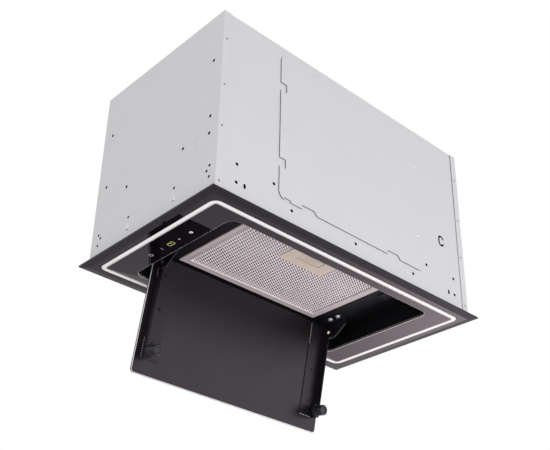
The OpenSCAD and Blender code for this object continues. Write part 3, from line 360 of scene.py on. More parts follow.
# Painted glint: brass that glows a little, so the lit pin tips shine.
BRASS_PIN_PAINTED_GLOW = Finish("brass pin with painted glow", srgb(255, 232, 208), 0.3, 0.2, grain_scale=300.0, glow=0.25)
ICON_LIGHT = Finish("lit icon", srgb(165, 164, 164), 0.6, grain=Grain.SMOOTH, glow=0.35)
LAMP_LIGHT = Finish("bright icon", srgb(205, 203, 203), 0.6, grain=Grain.SMOOTH, glow=0.45)
DIGIT_LIGHT = Finish("lit digit", srgb(178, 182, 112), 0.6, grain=Grain.SMOOTH, glow=0.5)
STUDIO_FLOOR = Finish("studio floor", (0.80, 0.77, 0.79), 0.9, grain=Grain.SMOOTH)


@dataclass(frozen=True)
class Rounding:
    """How the edges of a solid are rounded or polished.

    Edges that turn by more than sharper_than degrees get a bevel of this width, made of
    so many segments. Faces that are smaller than side_area take the second finish.
    """

    width: float
    segments: int = 1
    sharper_than: float = 60.0
    side_area: float = 0.0


def add_object(name: str, data: bpy.types.ID) -> bpy.types.Object:
    """Puts an object into the scene.

    Args:
        name: Its name.
        data: Its mesh, light or camera.

    Returns:
        The new object.
    """
    made = bpy.data.objects.new(name, data)
    bpy.context.scene.collection.objects.link(made)
    return made


def mesh_object(name: str, mesh: bmesh.types.BMesh) -> bpy.types.Object:
    """Puts a bmesh into the scene as an object at the origin.

    Args:
        name: The object's name.
        mesh: Its shape, freed here.

    Returns:
        The new object.
    """
    data = bpy.data.meshes.new(name)
    mesh.to_mesh(data)
    mesh.free()
    return add_object(name, data)


def split(mesh: bmesh.types.BMesh, point: Vector, normal: Vector) -> None:
    """Draws edges on a mesh where a plane passes through it.

    Args:
        mesh: The mesh.
        point: A point of the plane.
        normal: The plane's normal.
    """
    everything = [*mesh.verts, *mesh.edges, *mesh.faces]
    bmesh.ops.bisect_plane(mesh, geom=everything, plane_co=point, plane_no=normal)


def added_points(geometry: Iterable) -> list[bmesh.types.BMVert]:
    """The points among what a bmesh operator returned."""
    return [item for item in geometry if isinstance(item, bmesh.types.BMVert)]


def linked_groups(mesh: bmesh.types.BMesh) -> list[list[bmesh.types.BMVert]]:
    """Sorts the points of a mesh into the groups that its edges link.

    Args:
        mesh: The mesh.

    Returns:
        The groups.
    """
    groups = []
    waiting = dict.fromkeys(mesh.verts)
    while waiting:
        group, fresh = [], [waiting.popitem()[0]]
        while fresh:
            point = fresh.pop()
            group.append(point)
            for edge in point.link_edges:
                other = edge.other_vert(point)
                if other in waiting:
                    del waiting[other]
                    fresh.append(other)
        groups.append(group)
    return groups


class Workshop:
    """Turns bmeshes into the pieces of the hood and keeps the frame at hand."""

    rim_lift: ClassVar[float] = 0.02 * MM

    def __init__(self, frame: dict) -> None:
        """Keeps the frame.
        """
        self.nodes: dict[str, bpy.types.Object] = frame["nodes"]
        self.slots: dict[str, str] = {
            row["node"]: row["material_slot"] for row in frame["record"]["subparts"]
        }

    def paint(self, finish: Finish, nodes: Iterable[str]) -> None:
        """Gives some solids of the frame a finish.

        Args:
            finish: The finish.
            nodes: The solids' names.
        """
        for name in nodes:
            mesh = self.nodes[name].data
            mesh.materials.clear()
            mesh.materials.append(finish.material())

    @staticmethod
    def shade(normal: Vector, centre: Vector, box: Box, outwards: Vector, seam: float) -> Shade:
        """Tells how much painted shade a face of a casing wall gets.

        Args:
            normal: The face's normal.
            centre: Its middle.
            box: The wall's box.
            outwards: Where the wall's outer face looks.
            seam: Folded edges closer than this to the wall's sides get the lighter painted shade.

        Returns:
            Lit for an outer face or a lap, else painted seam shade near the sides, else painted
            dark shade.
        """
        low, high = box
        axis = max(range(3), key=lambda way: abs(normal[way]))
        side = high if normal[axis] > 0 else low
        flush = abs(normal[axis]) > SQUARE_ON and abs(centre[axis] - side[axis]) < FLUSH
        facing = normal.dot(outwards)
        if flush and (facing > FACING or facing > -FACING and seam > 0):
            return Shade.LIT
        room = min(
            min(centre[way] - low[way], high[way] - centre[way])
            for way in range(3) if abs(outwards[way]) < FACING
        )
        return Shade.SEAM if room < seam else Shade.DARK

    def shade_depths(self, node: str, outwards: Vector, seam: float) -> None:
        """Paints shade on what lies behind the outer faces of a casing wall, and in its holes.

        Args:
            node: The wall's name.
            outwards: Where its outer face looks.
            seam: Folded edges closer than this to the wall's sides get the lighter painted shade.
        """
        mesh = self.nodes[node].data
        for finish in (CASING_PAINTED_SHADE, PAINTED_MID_SHADE):
            mesh.materials.append(finish.material())
        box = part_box(node)
        for face in mesh.polygons:
            face.material_index = self.shade(face.normal, face.center, box, outwards, seam)

    def _hole_edges(self, node: str, outwards: Vector) -> bmesh.types.BMesh:
        """Finds the edges of the holes in the outer face of a shaded wall.

        Args:
            node: The wall's name.
            outwards: Where its outer face looks.

        Returns:
            A bmesh of these edges alone.
        """
        sheet = self.nodes[node].data
        level = max(point.co.dot(outwards) for point in sheet.vertices)
        found = bmesh.new()
        for face in sheet.polygons:
            across = abs(face.normal.dot(outwards)) < FACING
            if not across or face.material_index != Shade.DARK:
                continue
            ends = [sheet.vertices[index].co for index in face.vertices]
            ends = [end for end in ends if end.dot(outwards) > level - SAME_LEVEL]
            if len(ends) == 2:
                found.edges.new([found.verts.new(end) for end in ends])
        bmesh.ops.remove_doubles(found, verts=found.verts, dist=SAME_POINT)
        return found

    def painted_hole_shades(self, node: str, outwards: Vector, width: float, widest: float) -> None:
        """Draws rings of painted shade round a wall's punched holes, which look larger and
        darker.

        Args:
            node: The wall's name.
            outwards: Where its outer face looks.
            width: Width of the ring of painted shade.
            widest: Largest half width of an opening that has one.
        """
        edges = self._hole_edges(node, outwards)
        mesh = bmesh.new()
        for group in linked_groups(edges):
            centre = sum((point.co for point in group), Vector()) / len(group)
            if max((point.co - centre).length for point in group) > widest:
                continue
            for edge in dict.fromkeys(edge for point in group for edge in point.link_edges):
                inner = [point.co + outwards * self.rim_lift for point in edge.verts]
                outer = [spot + (spot - centre).normalized() * width for spot in inner]
                mesh.faces.new([mesh.verts.new(spot) for spot in (*inner, *reversed(outer))])
        edges.free()
        bmesh.ops.remove_doubles(mesh, verts=mesh.verts, dist=SAME_POINT)
        for face in mesh.faces:
            face.normal_update()
            if face.normal.dot(outwards) < 0:
                face.normal_flip()
        self.piece(mesh, f"{node}_painted_hole_shades", Body.CASING, (CASING_PAINTED_SHADE,))

    def piece(
        self, mesh: bmesh.types.BMesh, name: str, body: Body, finishes: Sequence[Finish],
        replaced: Iterable[str] = (),
    ) -> bpy.types.Object:
        """Makes a visible piece from a bmesh, in place.

        Args:
            mesh: The piece's shape, freed here.
            name: The piece's name.
            body: The body that it moves with.
            finishes: Its finishes, in the order of the faces' material numbers.
            replaced: Solids that it stands for.

        Returns:
            The new object.
        """
        made = mesh_object(name, mesh)
        for finish in finishes:
            made.data.materials.append(finish.material())
        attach(made, body.value)
        if replaced:
            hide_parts(*replaced)
        log.info("%s: %d faces, rides on %s", name, len(made.data.polygons), body.value)
        return made

    def solid(self, node: str) -> bmesh.types.BMesh:
        """Copies a solid of the frame as a clean bmesh with whole flat faces.

        Args:
            node: The solid's name.

        Returns:
            The copy, merged and with its flat triangles joined.
        """
        mesh = bmesh.new()
        mesh.from_mesh(self.nodes[node].data)
        bmesh.ops.remove_doubles(mesh, verts=mesh.verts, dist=SAME_POINT)
        bmesh.ops.dissolve_limit(
            mesh, angle_limit=FLAT_WITHIN, use_dissolve_boundaries=False,
            verts=mesh.verts, edges=mesh.edges,
        )
        return mesh

    def softened(
        self, node: str, name: str, body: Body, finishes: Sequence[Finish], rounding: Rounding
    ) -> bpy.types.Object:
        """Replaces a solid by a copy whose sharp edges are rounded or polished.

        Args:
            node: The solid's name.
            name: The new piece's name.
            body: The body that it moves with.
            finishes: Its finish, then those of its sides and its edges where they differ.
            rounding: What its edges get.

        Returns:
            The new object.
        """
        mesh = self.solid(node)
        for face in mesh.faces:
            if face.calc_area() < rounding.side_area:
                face.material_index = 1
        limit = math.radians(rounding.sharper_than)
        sharp = [
            edge for edge in mesh.edges if edge.is_manifold and edge.calc_face_angle(0.0) > limit
        ]
        bmesh.ops.bevel(
            mesh, geom=sharp, offset=rounding.width, offset_type="OFFSET", affect="EDGES",
            segments=rounding.segments, profile=0.5, clamp_overlap=True,
            material=len(finishes) - 1,
        )
        return self.piece(mesh, name, body, finishes, (node,))


class SubAssembly:
    """A group of solids with their finishes, and the pieces that are built round them."""

    solids: ClassVar[dict[Finish, tuple[str, ...]]] = {}

    def dress(self, workshop: Workshop) -> None:
        """Gives the solids of the group their finishes, then builds its pieces.

        Args:
            workshop: Where pieces are made.
        """
        for finish, nodes in self.solids.items():
            workshop.paint(finish, nodes)
        self.build(workshop)
        log.info("%s: dressed", type(self).__name__)

    def build(self, workshop: Workshop) -> None:
        """Builds the pieces of the group; a group of plain solids has none.

        Args:
            workshop: Where pieces are made.
        """


@dataclass
class Casing(SubAssembly):
    """The steel casing, with painted shade inside, and its cover, rivets and screws."""

    solids: ClassVar[dict[Finish, tuple[str, ...]]] = {
        ZINC_SHEET: (
            "left_side_panel", "right_side_panel", "front_panel", "back_panel", "top_panel",
            "service_cover", "hole_plug",
        ),
        BRIGHT_ZINC: ("side_screws", "service_cover_screws"),
        RIVET_COPPER: ("seam_rivets",),
        CAVITY_COAT: ("carrier_frame", "cavity_tub"),
    }
    punched_walls: ClassVar[dict[str, Vector]] = {
        "left_side_panel": -RIGHT,
        "right_side_panel": RIGHT,
        "front_panel": -BACK,
    }
    plain_walls: ClassVar[dict[str, Vector]] = {
        "service_cover": -BACK,
        "back_panel": BACK,
        "top_panel": UP,
    }

    seam: float = 0.6 * MM
    # Width of the painted shade round the punched holes.
    roll: float = 0.4 * MM
    widest_hole: float = 6.0 * MM
    plug_edge: Rounding = Rounding(
        0.25 * MM, segments=2, sharper_than=40.0, side_area=10.0 * SQUARE_MM
    )

    def build(self, workshop: Workshop) -> None:
        """Paints shade on the walls' hidden faces and round their holes, and builds the plug.

        Args:
            workshop: Where pieces are made.
        """
        for node, outwards in self.plain_walls.items():
            workshop.shade_depths(node, outwards, 0.0)
        for node, outwards in self.punched_walls.items():
            workshop.shade_depths(node, outwards, self.seam)
            workshop.painted_hole_shades(node, outwards, self.roll, self.widest_hole)
        # The plug's narrow sides get a painted highlight, its bevels painted shade.
        workshop.softened(
            "hole_plug", "hole_plug_pressed", Body.CASING, (ZINC_SHEET, PLUG_PAINTED_HIGHLIGHT, PAINTED_MID_SHADE),
            self.plug_edge,
        )


@dataclass
class GlassFlange(SubAssembly):
    """The glass round the opening, its light and the controls behind it, with their icons."""

    solids: ClassVar[dict[Finish, tuple[str, ...]]] = {
        BLACK_GLASS: ("outer_glass_frame", "inner_glass_frame"),
        LIGHT_RING: ("light_diffuser",),
        BOARD_GREEN: ("led_strip", "control_board"),
        BLACK_MOULDING: ("control_housing", "digit_display"),
        SOFT_PAD: ("touch_pads",),
    }

    polish: Rounding = Rounding(1.0 * MM, segments=3, side_area=10_000.0 * SQUARE_MM)
    clear_band: float = 13.5 * MM
    masked_edge: float = 0.6 * MM
    icon_depth: float = 0.03 * MM
    stroke: float = 0.8 * MM
    digit_w: float = 7.6 * MM
    digit_h: float = 12.2 * MM
    digit_stroke: float = 0.8 * MM
    level_bar_ends: float = 0.64 * MM
    upright_bar_ends: float = 0.6 * MM
    power_y: float = 47.8 * MM
    minus_y: float = 21.3 * MM
    plus_y: float = -18.7 * MM
    lamp_y: float = -45.5 * MM
    ring_r: float = 3.4 * MM
    ring_sides: int = 24
    bar_l: float = 5.4 * MM
    plus_l: float = 4.4 * MM
    lamp_r: float = 2.7 * MM
    lamp_w: float = 1.5 * MM

    def build(self, workshop: Workshop) -> None:
        """Builds the glass and the icons.

        Args:
            workshop: Where pieces are made.
        """
        self._outer_glass(workshop)
        self._light_ring(workshop)
        # The arris of the opening gets a painted highlight.
        workshop.softened(
            "inner_glass_frame", "inner_glass_polished", Body.CASING,
            (BLACK_GLASS, GLASS_SIDE, ARRIS_PAINTED_HIGHLIGHT), self.polish,
        )
        low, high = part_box("digit_display")
        centre = Vector(((low.x + high.x) / 2, 0.0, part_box("inner_glass_frame")[0].z))
        self._digit(workshop, centre)
        for name, along, radius, width, finish in (
            ("power_icon", self.power_y, self.ring_r, self.stroke, ICON_LIGHT),
            ("lamp_icon", self.lamp_y, self.lamp_r, self.lamp_w, LAMP_LIGHT),
        ):
            self._ring(workshop, name, centre + BACK * along, radius, width, finish)
        for name, along, length, turns in (
            ("minus_icon", self.minus_y, self.bar_l, (0.0,)),
            ("plus_icon", self.plus_y, self.plus_l, (0.0, 90.0)),
        ):
            self._bars(workshop, name, centre + BACK * along, length, turns)

    def _outer_glass(self, workshop: Workshop) -> None:
        """Builds the outer glass, whose margin has no steel behind it and looks darker.

        Args:
            workshop: Where pieces are made.
        """
        node = "outer_glass_frame"
        mesh = workshop.solid(node)
        inset = (RIGHT + BACK) * self.clear_band
        low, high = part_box(node)
        low, high = low + inset, high - inset
        for normal in (RIGHT, BACK):
            for point in (low, high):
                split(mesh, point, normal)
        for face in mesh.faces:
            centre = face.calc_center_median()
            inside = low.x < centre.x < high.x and low.y < centre.y < high.y
            face.material_index = 0 if inside else 1
        workshop.piece(
            mesh, "outer_glass_banded", Body.CASING, (BLACK_GLASS, CLEAR_MARGIN),
            (node,),
        )

    def _light_ring(self, workshop: Workshop) -> None:
        """Builds the diffuser, with dark edges where the glass masks its light.

        Args:
            workshop: Where pieces are made.
        """
        node = "light_diffuser"
        mesh = workshop.solid(node)
        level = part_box(node)[0].z
        shown = [
            face for face in mesh.faces
            if face.normal.z < -SQUARE_ON and abs(face.calc_center_median().z - level) < FLUSH
        ]
        edges = bmesh.ops.inset_region(
            mesh, faces=shown, thickness=self.masked_edge, use_boundary=True, use_even_offset=True
        )["faces"]
        for face in edges:
            face.material_index = 1
        workshop.piece(
            mesh, "light_diffuser_masked", Body.CASING, (LIGHT_RING, BLACK_GLASS),
            (node,),
        )

    def _plate(
        self, mesh: bmesh.types.BMesh, centre: Vector, width: float, depth: float,
        turn: float = 0.0,
    ) -> None:
        """Adds a thin lit bar on the glass.

        Args:
            mesh: The icon's bmesh.
            centre: The bar's middle, on the glass.
            width: The bar's length along X before it is turned.
            depth: Its length along Y before it is turned.
            turn: Its turn about Z in degrees.
        """
        place = (
            Matrix.Translation(centre - UP * self.icon_depth / 2)
            @ Matrix.Rotation(math.radians(turn), 4, "Z")
            @ Matrix.Diagonal((width, depth, self.icon_depth, 1.0))
        )
        bmesh.ops.create_cube(mesh, size=1.0, matrix=place)

    def _digit(self, workshop: Workshop, centre: Vector) -> None:
        """Builds the seven bars of the display's digit.

        Args:
            workshop: Where pieces are made.
            centre: The digit's middle, on the glass.
        """
        mesh = bmesh.new()
        bar = self.digit_stroke
        side, end = (self.digit_w - bar) / 2, (self.digit_h - bar) / 2
        level = self.digit_w - 2 * self.level_bar_ends
        upright = self.digit_h / 2 - 2 * self.upright_bar_ends
        for y in (-end, 0.0, end):
            self._plate(mesh, centre + BACK * y, level, bar)
        for x in (-side, side):
            for y in (-self.digit_h / 4, self.digit_h / 4):
                self._plate(mesh, centre + RIGHT * x + BACK * y, bar, upright)
        workshop.piece(
            mesh, "display_digit", Body.CASING, (DIGIT_LIGHT,)
        )

    def _bars(
        self, workshop: Workshop, name: str, centre: Vector, length: float,
        turns: Sequence[float],
    ) -> None:
        """Builds a minus or a plus from crossed bars.

        Args:
            workshop: Where pieces are made.
            name: The icon's name.
            centre: The icon's middle, on the glass.
            length: The bars' length.
            turns: The bars' turns about Z in degrees.
        """
        mesh = bmesh.new()
        for turn in turns:
            self._plate(mesh, centre, length, self.stroke, turn)
        workshop.piece(mesh, name, Body.CASING, (ICON_LIGHT,))

    def _ring(
        self, workshop: Workshop, name: str, centre: Vector, radius: float, width: float,
        finish: Finish,
    ) -> None:
        """Builds a lit ring.

        Args:
            workshop: Where pieces are made.
            name: The icon's name.
            centre: The icon's middle, on the glass.
            radius: The ring's outer radius.
            width: The ring's width.
            finish: The ring's finish.
        """
        mesh = bmesh.new()
        bmesh.ops.create_circle(
            mesh, cap_ends=True, segments=self.ring_sides, radius=radius,
            matrix=Matrix.Translation(centre),
        )
        disc = list(mesh.faces)
        bmesh.ops.inset_region(
            mesh, faces=disc, thickness=width, use_boundary=True, use_even_offset=True
        )
        bmesh.ops.delete(mesh, geom=disc, context="FACES_ONLY")
        raised = bmesh.ops.extrude_face_region(mesh, geom=list(mesh.faces))["geom"]
        bmesh.ops.translate(mesh, verts=added_points(raised), vec=-UP * self.icon_depth)
        bmesh.ops.recalc_face_normals(mesh, faces=mesh.faces)
        workshop.piece(mesh, name, Body.CASING, (finish,))


@dataclass
class SuctionPanel(SubAssembly):
    """The hanging glass panel with its polished edge, arms, catch knobs and hinges."""

    solids: ClassVar[dict[Finish, tuple[str, ...]]] = {
        BLACK_GLASS: ("panel_glass",),
        PANEL_COAT: ("panel_sheet",),
        POWDER_COAT: (
            "arm_left", "arm_right", "arm_screws", "hinge_bracket_left", "hinge_bracket_right",
            "catch_keepers", "hinge_pins",
        ),
        BLACK_MOULDING: ("catch_knob_left", "catch_knob_right"),
        BRIGHT_ZINC: ("hinge_bracket_screws",),
    }

    # The arris of the panel glass gets a painted highlight.
    polish: Rounding = Rounding(0.8 * MM, side_area=20_000.0 * SQUARE_MM)
    # Near the hinge the arris is unlit and gets no painted highlight.
    unlit_arris_band: float = 6.0 * MM
    knob_edge: Rounding = Rounding(0.5 * MM, segments=2, sharper_than=50.0)
    sheet_edge: Rounding = Rounding(0.3 * MM)
    tip_r: float = 2.8 * MM
    tip_h: float = 1.2 * MM
    tip_sides: int = 16
    tip_rings: int = 8
    head_in: float = 2.9 * MM
    open_angle: float = 101.0
    hinge: Vector = field(default_factory=lambda: Vector((0.0, 78.0, 12.5)) * MM)
    inner_level: float = -1.7 * MM
    arm_outer: float = 180.0 * MM
    arm_inner: float = 148.2 * MM
    arm_front: float = -71.0 * MM
    arm_back: float = 88.8 * MM
    strip_t: float = 1.2 * MM
    hole_pitch: float = 4.0 * MM
    hole_rise: float = 2.0 * MM
    front_holes: int = 8
    back_holes: int = 6
    back_margin: float = 10.0 * MM
    strip_holes: int = 9
    end_holes: int = 6
    glint_r: float = 0.65 * MM
    glint_t: float = 0.5 * MM
    glint_sides: int = 10

    def build(self, workshop: Workshop) -> None:
        """Builds the panel's pieces.

        Args:
            workshop: Where pieces are made.
        """
        self._glass(workshop)
        for side in ("left", "right"):
            workshop.softened(
                f"catch_knob_{side}", f"catch_knob_{side}_rounded", Body.PANEL,
                (BLACK_MOULDING,), self.knob_edge,
            )
            for part, body in (("arm", Body.PANEL), ("hinge_bracket", Body.CASING)):
                # The rounded edges of arms and brackets get a dim painted highlight.
                workshop.softened(
                    f"{part}_{side}", f"{part}_{side}_folded", body,
                    (POWDER_COAT, DIM_PAINTED_HIGHLIGHT), self.sheet_edge,
                )
        self._paint_hole_glints(workshop, -1, "arm_left", False)
        self._paint_hole_glints(workshop, 1, "arm_right", True)
        self._pin_tips(workshop)

    def _glass(self, workshop: Workshop) -> None:
        """Builds the glass with a painted highlight on its arris, but none by the hinge, which is
        unlit.

        Args:
            workshop: Where pieces are made.
        """
        glass = workshop.softened(
            "panel_glass", "panel_glass_polished", Body.PANEL,
            (BLACK_GLASS, GLASS_SIDE, ARRIS_PAINTED_HIGHLIGHT), self.polish,
        )
        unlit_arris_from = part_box("panel_glass")[1].z - self.unlit_arris_band
        for face in glass.data.polygons:
            if face.center.z > unlit_arris_from:
                face.material_index = 0

    def _swing(self) -> Matrix:
        """The turn from the shut panel to the hanging one, about the hinge."""
        return (
            Matrix.Translation(self.hinge)
            @ Matrix.Rotation(math.radians(self.open_angle), 4, "X")
            @ Matrix.Translation(-self.hinge)
        )

    def _paint_hole_glints(self, workshop: Workshop, sign: int, node: str, along_strip: bool) -> None:
        """Paints bright discs as highlights at the small holes of an arm.

        Args:
            workshop: Where pieces are made.
            sign: Minus one for the left arm, one for the right one.
            node: The arm's name in the frame.
            along_strip: Whether the holes at the edges of its strip get painted highlights too.
        """
        pitch = self.hole_pitch
        level, face = self.inner_level + self.hole_rise, self.inner_level + self.strip_t
        bend = [self.arm_front + pitch / 2 + index * pitch for index in range(self.front_holes)]
        bend += [
            self.arm_back - self.back_margin - index * pitch for index in range(self.back_holes)
        ]
        upright = [(self.arm_outer, y, level) for y in bend]
        flat = []
        if along_strip:
            flat = [
                (self.arm_inner, self.arm_back - index * pitch, face)
                for index in range(1, self.strip_holes + 1)
            ]
            flat += [
                (self.arm_inner + pitch / 2 + index * pitch, self.arm_front, face)
                for index in range(self.end_holes)
            ]
        mesh = bmesh.new()
        for places, turn in ((upright, SIDEWAYS), (flat, Matrix.Identity(4))):
            for x, y, z in places:
                bmesh.ops.create_cone(
                    mesh, cap_ends=True, segments=self.glint_sides, radius1=self.glint_r,
                    radius2=self.glint_r, depth=self.glint_t,
                    matrix=self._swing() @ Matrix.Translation((sign * x, y, z)) @ turn,
                )
        workshop.piece(
            mesh, f"{node}_painted_glints", Body.PANEL, (HOLE_PAINTED_HIGHLIGHT,)
        )

    def _pin_tips(self, workshop: Workshop) -> None:
        """Builds the pins' riveted tips, lit by a painted glow on the right and in painted shade
        on the left.

        Args:
            workshop: Where pieces are made.
        """
        low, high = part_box("hinge_pins")
        inner = self.arm_outer - self.head_in
        flat = Matrix.Diagonal((1.0, 1.0, self.tip_h / self.tip_r, 1.0))
        mesh = bmesh.new()
        for level in (low.x, -inner, inner, high.x):
            place = Matrix.Translation((level, self.hinge.y, self.hinge.z))
            bmesh.ops.create_uvsphere(
                mesh, u_segments=self.tip_sides, v_segments=self.tip_rings, radius=self.tip_r,
                matrix=self._swing() @ place @ SIDEWAYS @ flat,
            )
        for face in mesh.faces:
            # Painted light: the right tips glow as if lit, the left ones are painted dim as if in
            # shade.
            face.material_index = int(face.calc_center_median().x < 0)
        workshop.piece(
            mesh, "hinge_pin_tips", Body.PANEL, (BRASS_PIN_PAINTED_GLOW, DIM_PAINTED_HIGHLIGHT),
        )


@dataclass
class GreaseFilter(SubAssembly):
    """The filter: a folded frame, two sheets of expanded metal and the catch plate."""

    solids: ClassVar[dict[Finish, tuple[str, ...]]] = {
        FILTER_ALU: ("filter_frame", "filter_mesh_lower", "filter_mesh_upper"),
        BEIGE_MOULDING: ("filter_catch_plate", "filter_catch_slider"),
        BRIGHT_ZINC: ("filter_hook_clips",),
    }

    cell_width: float = 6.79 * MM
    cell_depth: float = 4.32 * MM
    slot_angle: float = 32.5
    slot_length: float = 7.5 * MM
    slot_shoulder: float = 2.5 * MM
    slot_width: float = 2.1 * MM
    slot_start: float = 0.4 * MM
    twist: float = 0.3 * MM
    metal: float = 0.3 * MM
    cell_merge: float = 0.05 * MM
    plate_edge: Rounding = Rounding(0.5 * MM, segments=2)
    slider_edge: Rounding = Rounding(0.25 * MM)
    grip_w: float = 46.0 * MM
    grip_l: float = 22.0 * MM
    grip_set: float = 3.8 * MM
    catch_travel: float = 4.5 * MM
    pad_gap: float = 1.0 * MM
    pad_set: float = 0.7 * MM
    pad_root: float = 1.0 * MM
    rib_count: int = 5
    rib_l: float = 30.0 * MM
    rib_w: float = 0.8 * MM
    rib_t: float = 0.4 * MM

    def build(self, workshop: Workshop) -> None:
        """Builds the filter's pieces.

        Args:
            workshop: Where pieces are made.
        """
        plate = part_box("filter_catch_plate")
        self._paint_lip_highlights(workshop)
        self._sheet(workshop, "filter_mesh_lower", "lower_mesh_sheet", MESH_ALU, plate)
        # The upper sheet is the aluminium in painted shade.
        self._sheet(workshop, "filter_mesh_upper", "upper_mesh_sheet", INNER_MESH_PAINTED_SHADE)
        workshop.softened(
            "filter_catch_plate", "catch_plate_moulding", Body.FILTER, (BEIGE_MOULDING,),
            self.plate_edge,
        )
        workshop.softened(
            "filter_catch_slider", "catch_slider_moulding", Body.LATCH, (BEIGE_MOULDING,),
            self.slider_edge,
        )
        self._pad(workshop, plate)

    def _pad(self, workshop: Workshop, plate: Box) -> None:
        """Builds the slider's ribbed thumb pad, nearly flush with the plate round it.

        Args:
            workshop: Where pieces are made.
            plate: The catch plate's box.
        """
        low, high = plate
        middle = (low.x + high.x) / 2
        start = low.y + self.grip_set + self.catch_travel + self.pad_gap
        length = self.grip_l - self.catch_travel - 2 * self.pad_gap
        width = self.grip_w - 2 * self.pad_gap
        face = low.z + self.pad_set
        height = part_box("filter_catch_slider")[0].z + self.pad_root - face
        mesh = bmesh.new()
        corner = Vector((middle - width / 2, start, face))
        self._block(mesh, corner, Vector((width, length, height)))
        for rib in range(1, self.rib_count + 1):
            centre = start + rib * length / (self.rib_count + 1)
            corner = Vector(
                (middle - self.rib_l / 2, centre - self.rib_w / 2, face - self.rib_t)
            )
            self._block(mesh, corner, Vector((self.rib_l, self.rib_w, 2 * self.rib_t)))
        workshop.piece(
            mesh, "catch_slider_pad", Body.LATCH, (BEIGE_MOULDING,),
        )

    @staticmethod
    def _block(mesh: bmesh.types.BMesh, corner: Vector, size: Vector) -> None:
        """Adds a block.

        Args:
            mesh: The bmesh that takes it.
            corner: Its lowest corner.
            size: Its three lengths.
        """
        place = Matrix.Translation(corner + size / 2) @ Matrix.Diagonal((*size, 1.0))
        bmesh.ops.create_cube(mesh, size=1.0, matrix=place)

    @staticmethod
    def _paint_lip_highlights(workshop: Workshop) -> None:
        """Paints a highlight on the upright faces round the filter's window, in lighter
        aluminium.

        Args:
            workshop: Where pieces are made.
        """
        mesh = workshop.nodes["filter_frame"].data
        mesh.materials.append(LIP_PAINTED_HIGHLIGHT.material())
        low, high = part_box("filter_frame")
        middle = (low + high) / 2
        for face in mesh.polygons:
            upright = abs(face.normal.z) < FACING
            inwards = face.normal.dot(middle - face.center) > 0
            if upright and inwards and face.center.z < middle.z:
                face.material_index = 1

    def _cell(self, mesh: bmesh.types.BMesh, corner: Vector) -> None:
        """Adds one cell of the sheet: a rectangle round a slanted, twisted slot.

        Args:
            mesh: The sheet's bmesh.
            corner: The cell's low corner.
        """
        width, depth = self.cell_width, self.cell_depth
        reach, shoulder, half = self.slot_length / 2, self.slot_shoulder, self.slot_width / 2
        edge = (
            Vector((0.0, 0.0, 0.0)), Vector((width / 2, 0.0, 0.0)), Vector((width, 0.0, 0.0)),
            Vector((width, depth, 0.0)), Vector((width / 2, depth, 0.0)),
            Vector((0.0, depth, 0.0)),
        )
        slot = (
            Vector((-reach, 0.0, 0.0)), Vector((-shoulder, -half, self.twist)),
            Vector((shoulder, -half, self.twist)), Vector((reach, 0.0, 0.0)),
            Vector((shoulder, half, -self.twist)), Vector((-shoulder, half, -self.twist)),
        )
        middle = corner + Vector((width / 2, depth / 2, 0.0))
        slant = Matrix.Rotation(math.radians(self.slot_angle), 3, "Z")
        bmesh.ops.create_circle(
            mesh, cap_ends=True, segments=len(edge), radius=depth / 2,
            matrix=Matrix.Translation(middle),
        )
        face = next(iter(mesh.faces))
        for point, place in zip(face.verts, edge):
            point.co = corner + place
        bmesh.ops.inset_individual(mesh, faces=[face], thickness=self.slot_start)
        for point, place in zip(face.verts, slot):
            point.co = middle + slant @ place
        bmesh.ops.delete(mesh, geom=[face], context="FACES_ONLY")

    def _sheet(
        self, workshop: Workshop, node: str, name: str, finish: Finish, gap: Box | None = None
    ) -> None:
        """Builds a sheet of expanded metal where the solid's plain one lies.

        Args:
            workshop: Where pieces are made.
            node: The solid that it replaces.
            name: The sheet's name.
            finish: The sheet's finish.
            gap: Corners of the cut-out for the catch plate, if it has one.
        """
        low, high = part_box(node)
        columns = int((high.x - low.x) / self.cell_width)
        rows = int((high.y - low.y) / self.cell_depth)
        start = Vector((
            -columns * self.cell_width / 2,
            (low.y + high.y - rows * self.cell_depth) / 2,
            (low.z + high.z) / 2,
        ))
        mesh = bmesh.new()
        self._cell(mesh, start)
        for count, step in ((columns, RIGHT * self.cell_width), (rows, BACK * self.cell_depth)):
            pattern = [*mesh.verts, *mesh.edges, *mesh.faces]
            for index in range(1, count):
                copied = bmesh.ops.duplicate(mesh, geom=pattern)["geom"]
                bmesh.ops.translate(mesh, vec=step * index, verts=added_points(copied))
        bmesh.ops.remove_doubles(mesh, verts=mesh.verts, dist=self.cell_merge)
        if gap is not None:
            self._cut(mesh, gap)
        made = workshop.piece(
            mesh, name, Body.FILTER, (finish,), (node,)
        )
        thicken = made.modifiers.new("metal", "SOLIDIFY")
        thicken.thickness = self.metal
        thicken.offset = 0.0

    @staticmethod
    def _cut(mesh: bmesh.types.BMesh, gap: Box) -> None:
        """Cuts a rectangle out of the sheet, up to its front edge.

        Args:
            mesh: The sheet's bmesh.
            gap: Corners of the rectangle.
        """
        low, high = gap
        for point, normal in ((low, RIGHT), (high, RIGHT), (high, BACK)):
            split(mesh, point, normal)
        centres = {face: face.calc_center_median() for face in mesh.faces}
        inside = [
            face for face, centre in centres.items()
            if low.x < centre.x < high.x and centre.y < high.y
        ]
        bmesh.ops.delete(mesh, geom=inside, context="FACES")


class Blower(SubAssembly):
    """The scroll, its two inlets, the wheel and the motor."""

    solids: ClassVar[dict[Finish, tuple[str, ...]]] = {
        BLOWER_ZINC: (
            "scroll_front_half", "scroll_rear_half", "impeller_blades", "impeller_disc",
        ),
        WHITE_MOULDING: ("inlet_ring_front", "inlet_ring_rear"),
        MOTOR_PAINT: ("motor",),
        POWDER_COAT: ("motor_bracket",),
        BRIGHT_ZINC: ("motor_shaft",),
    }


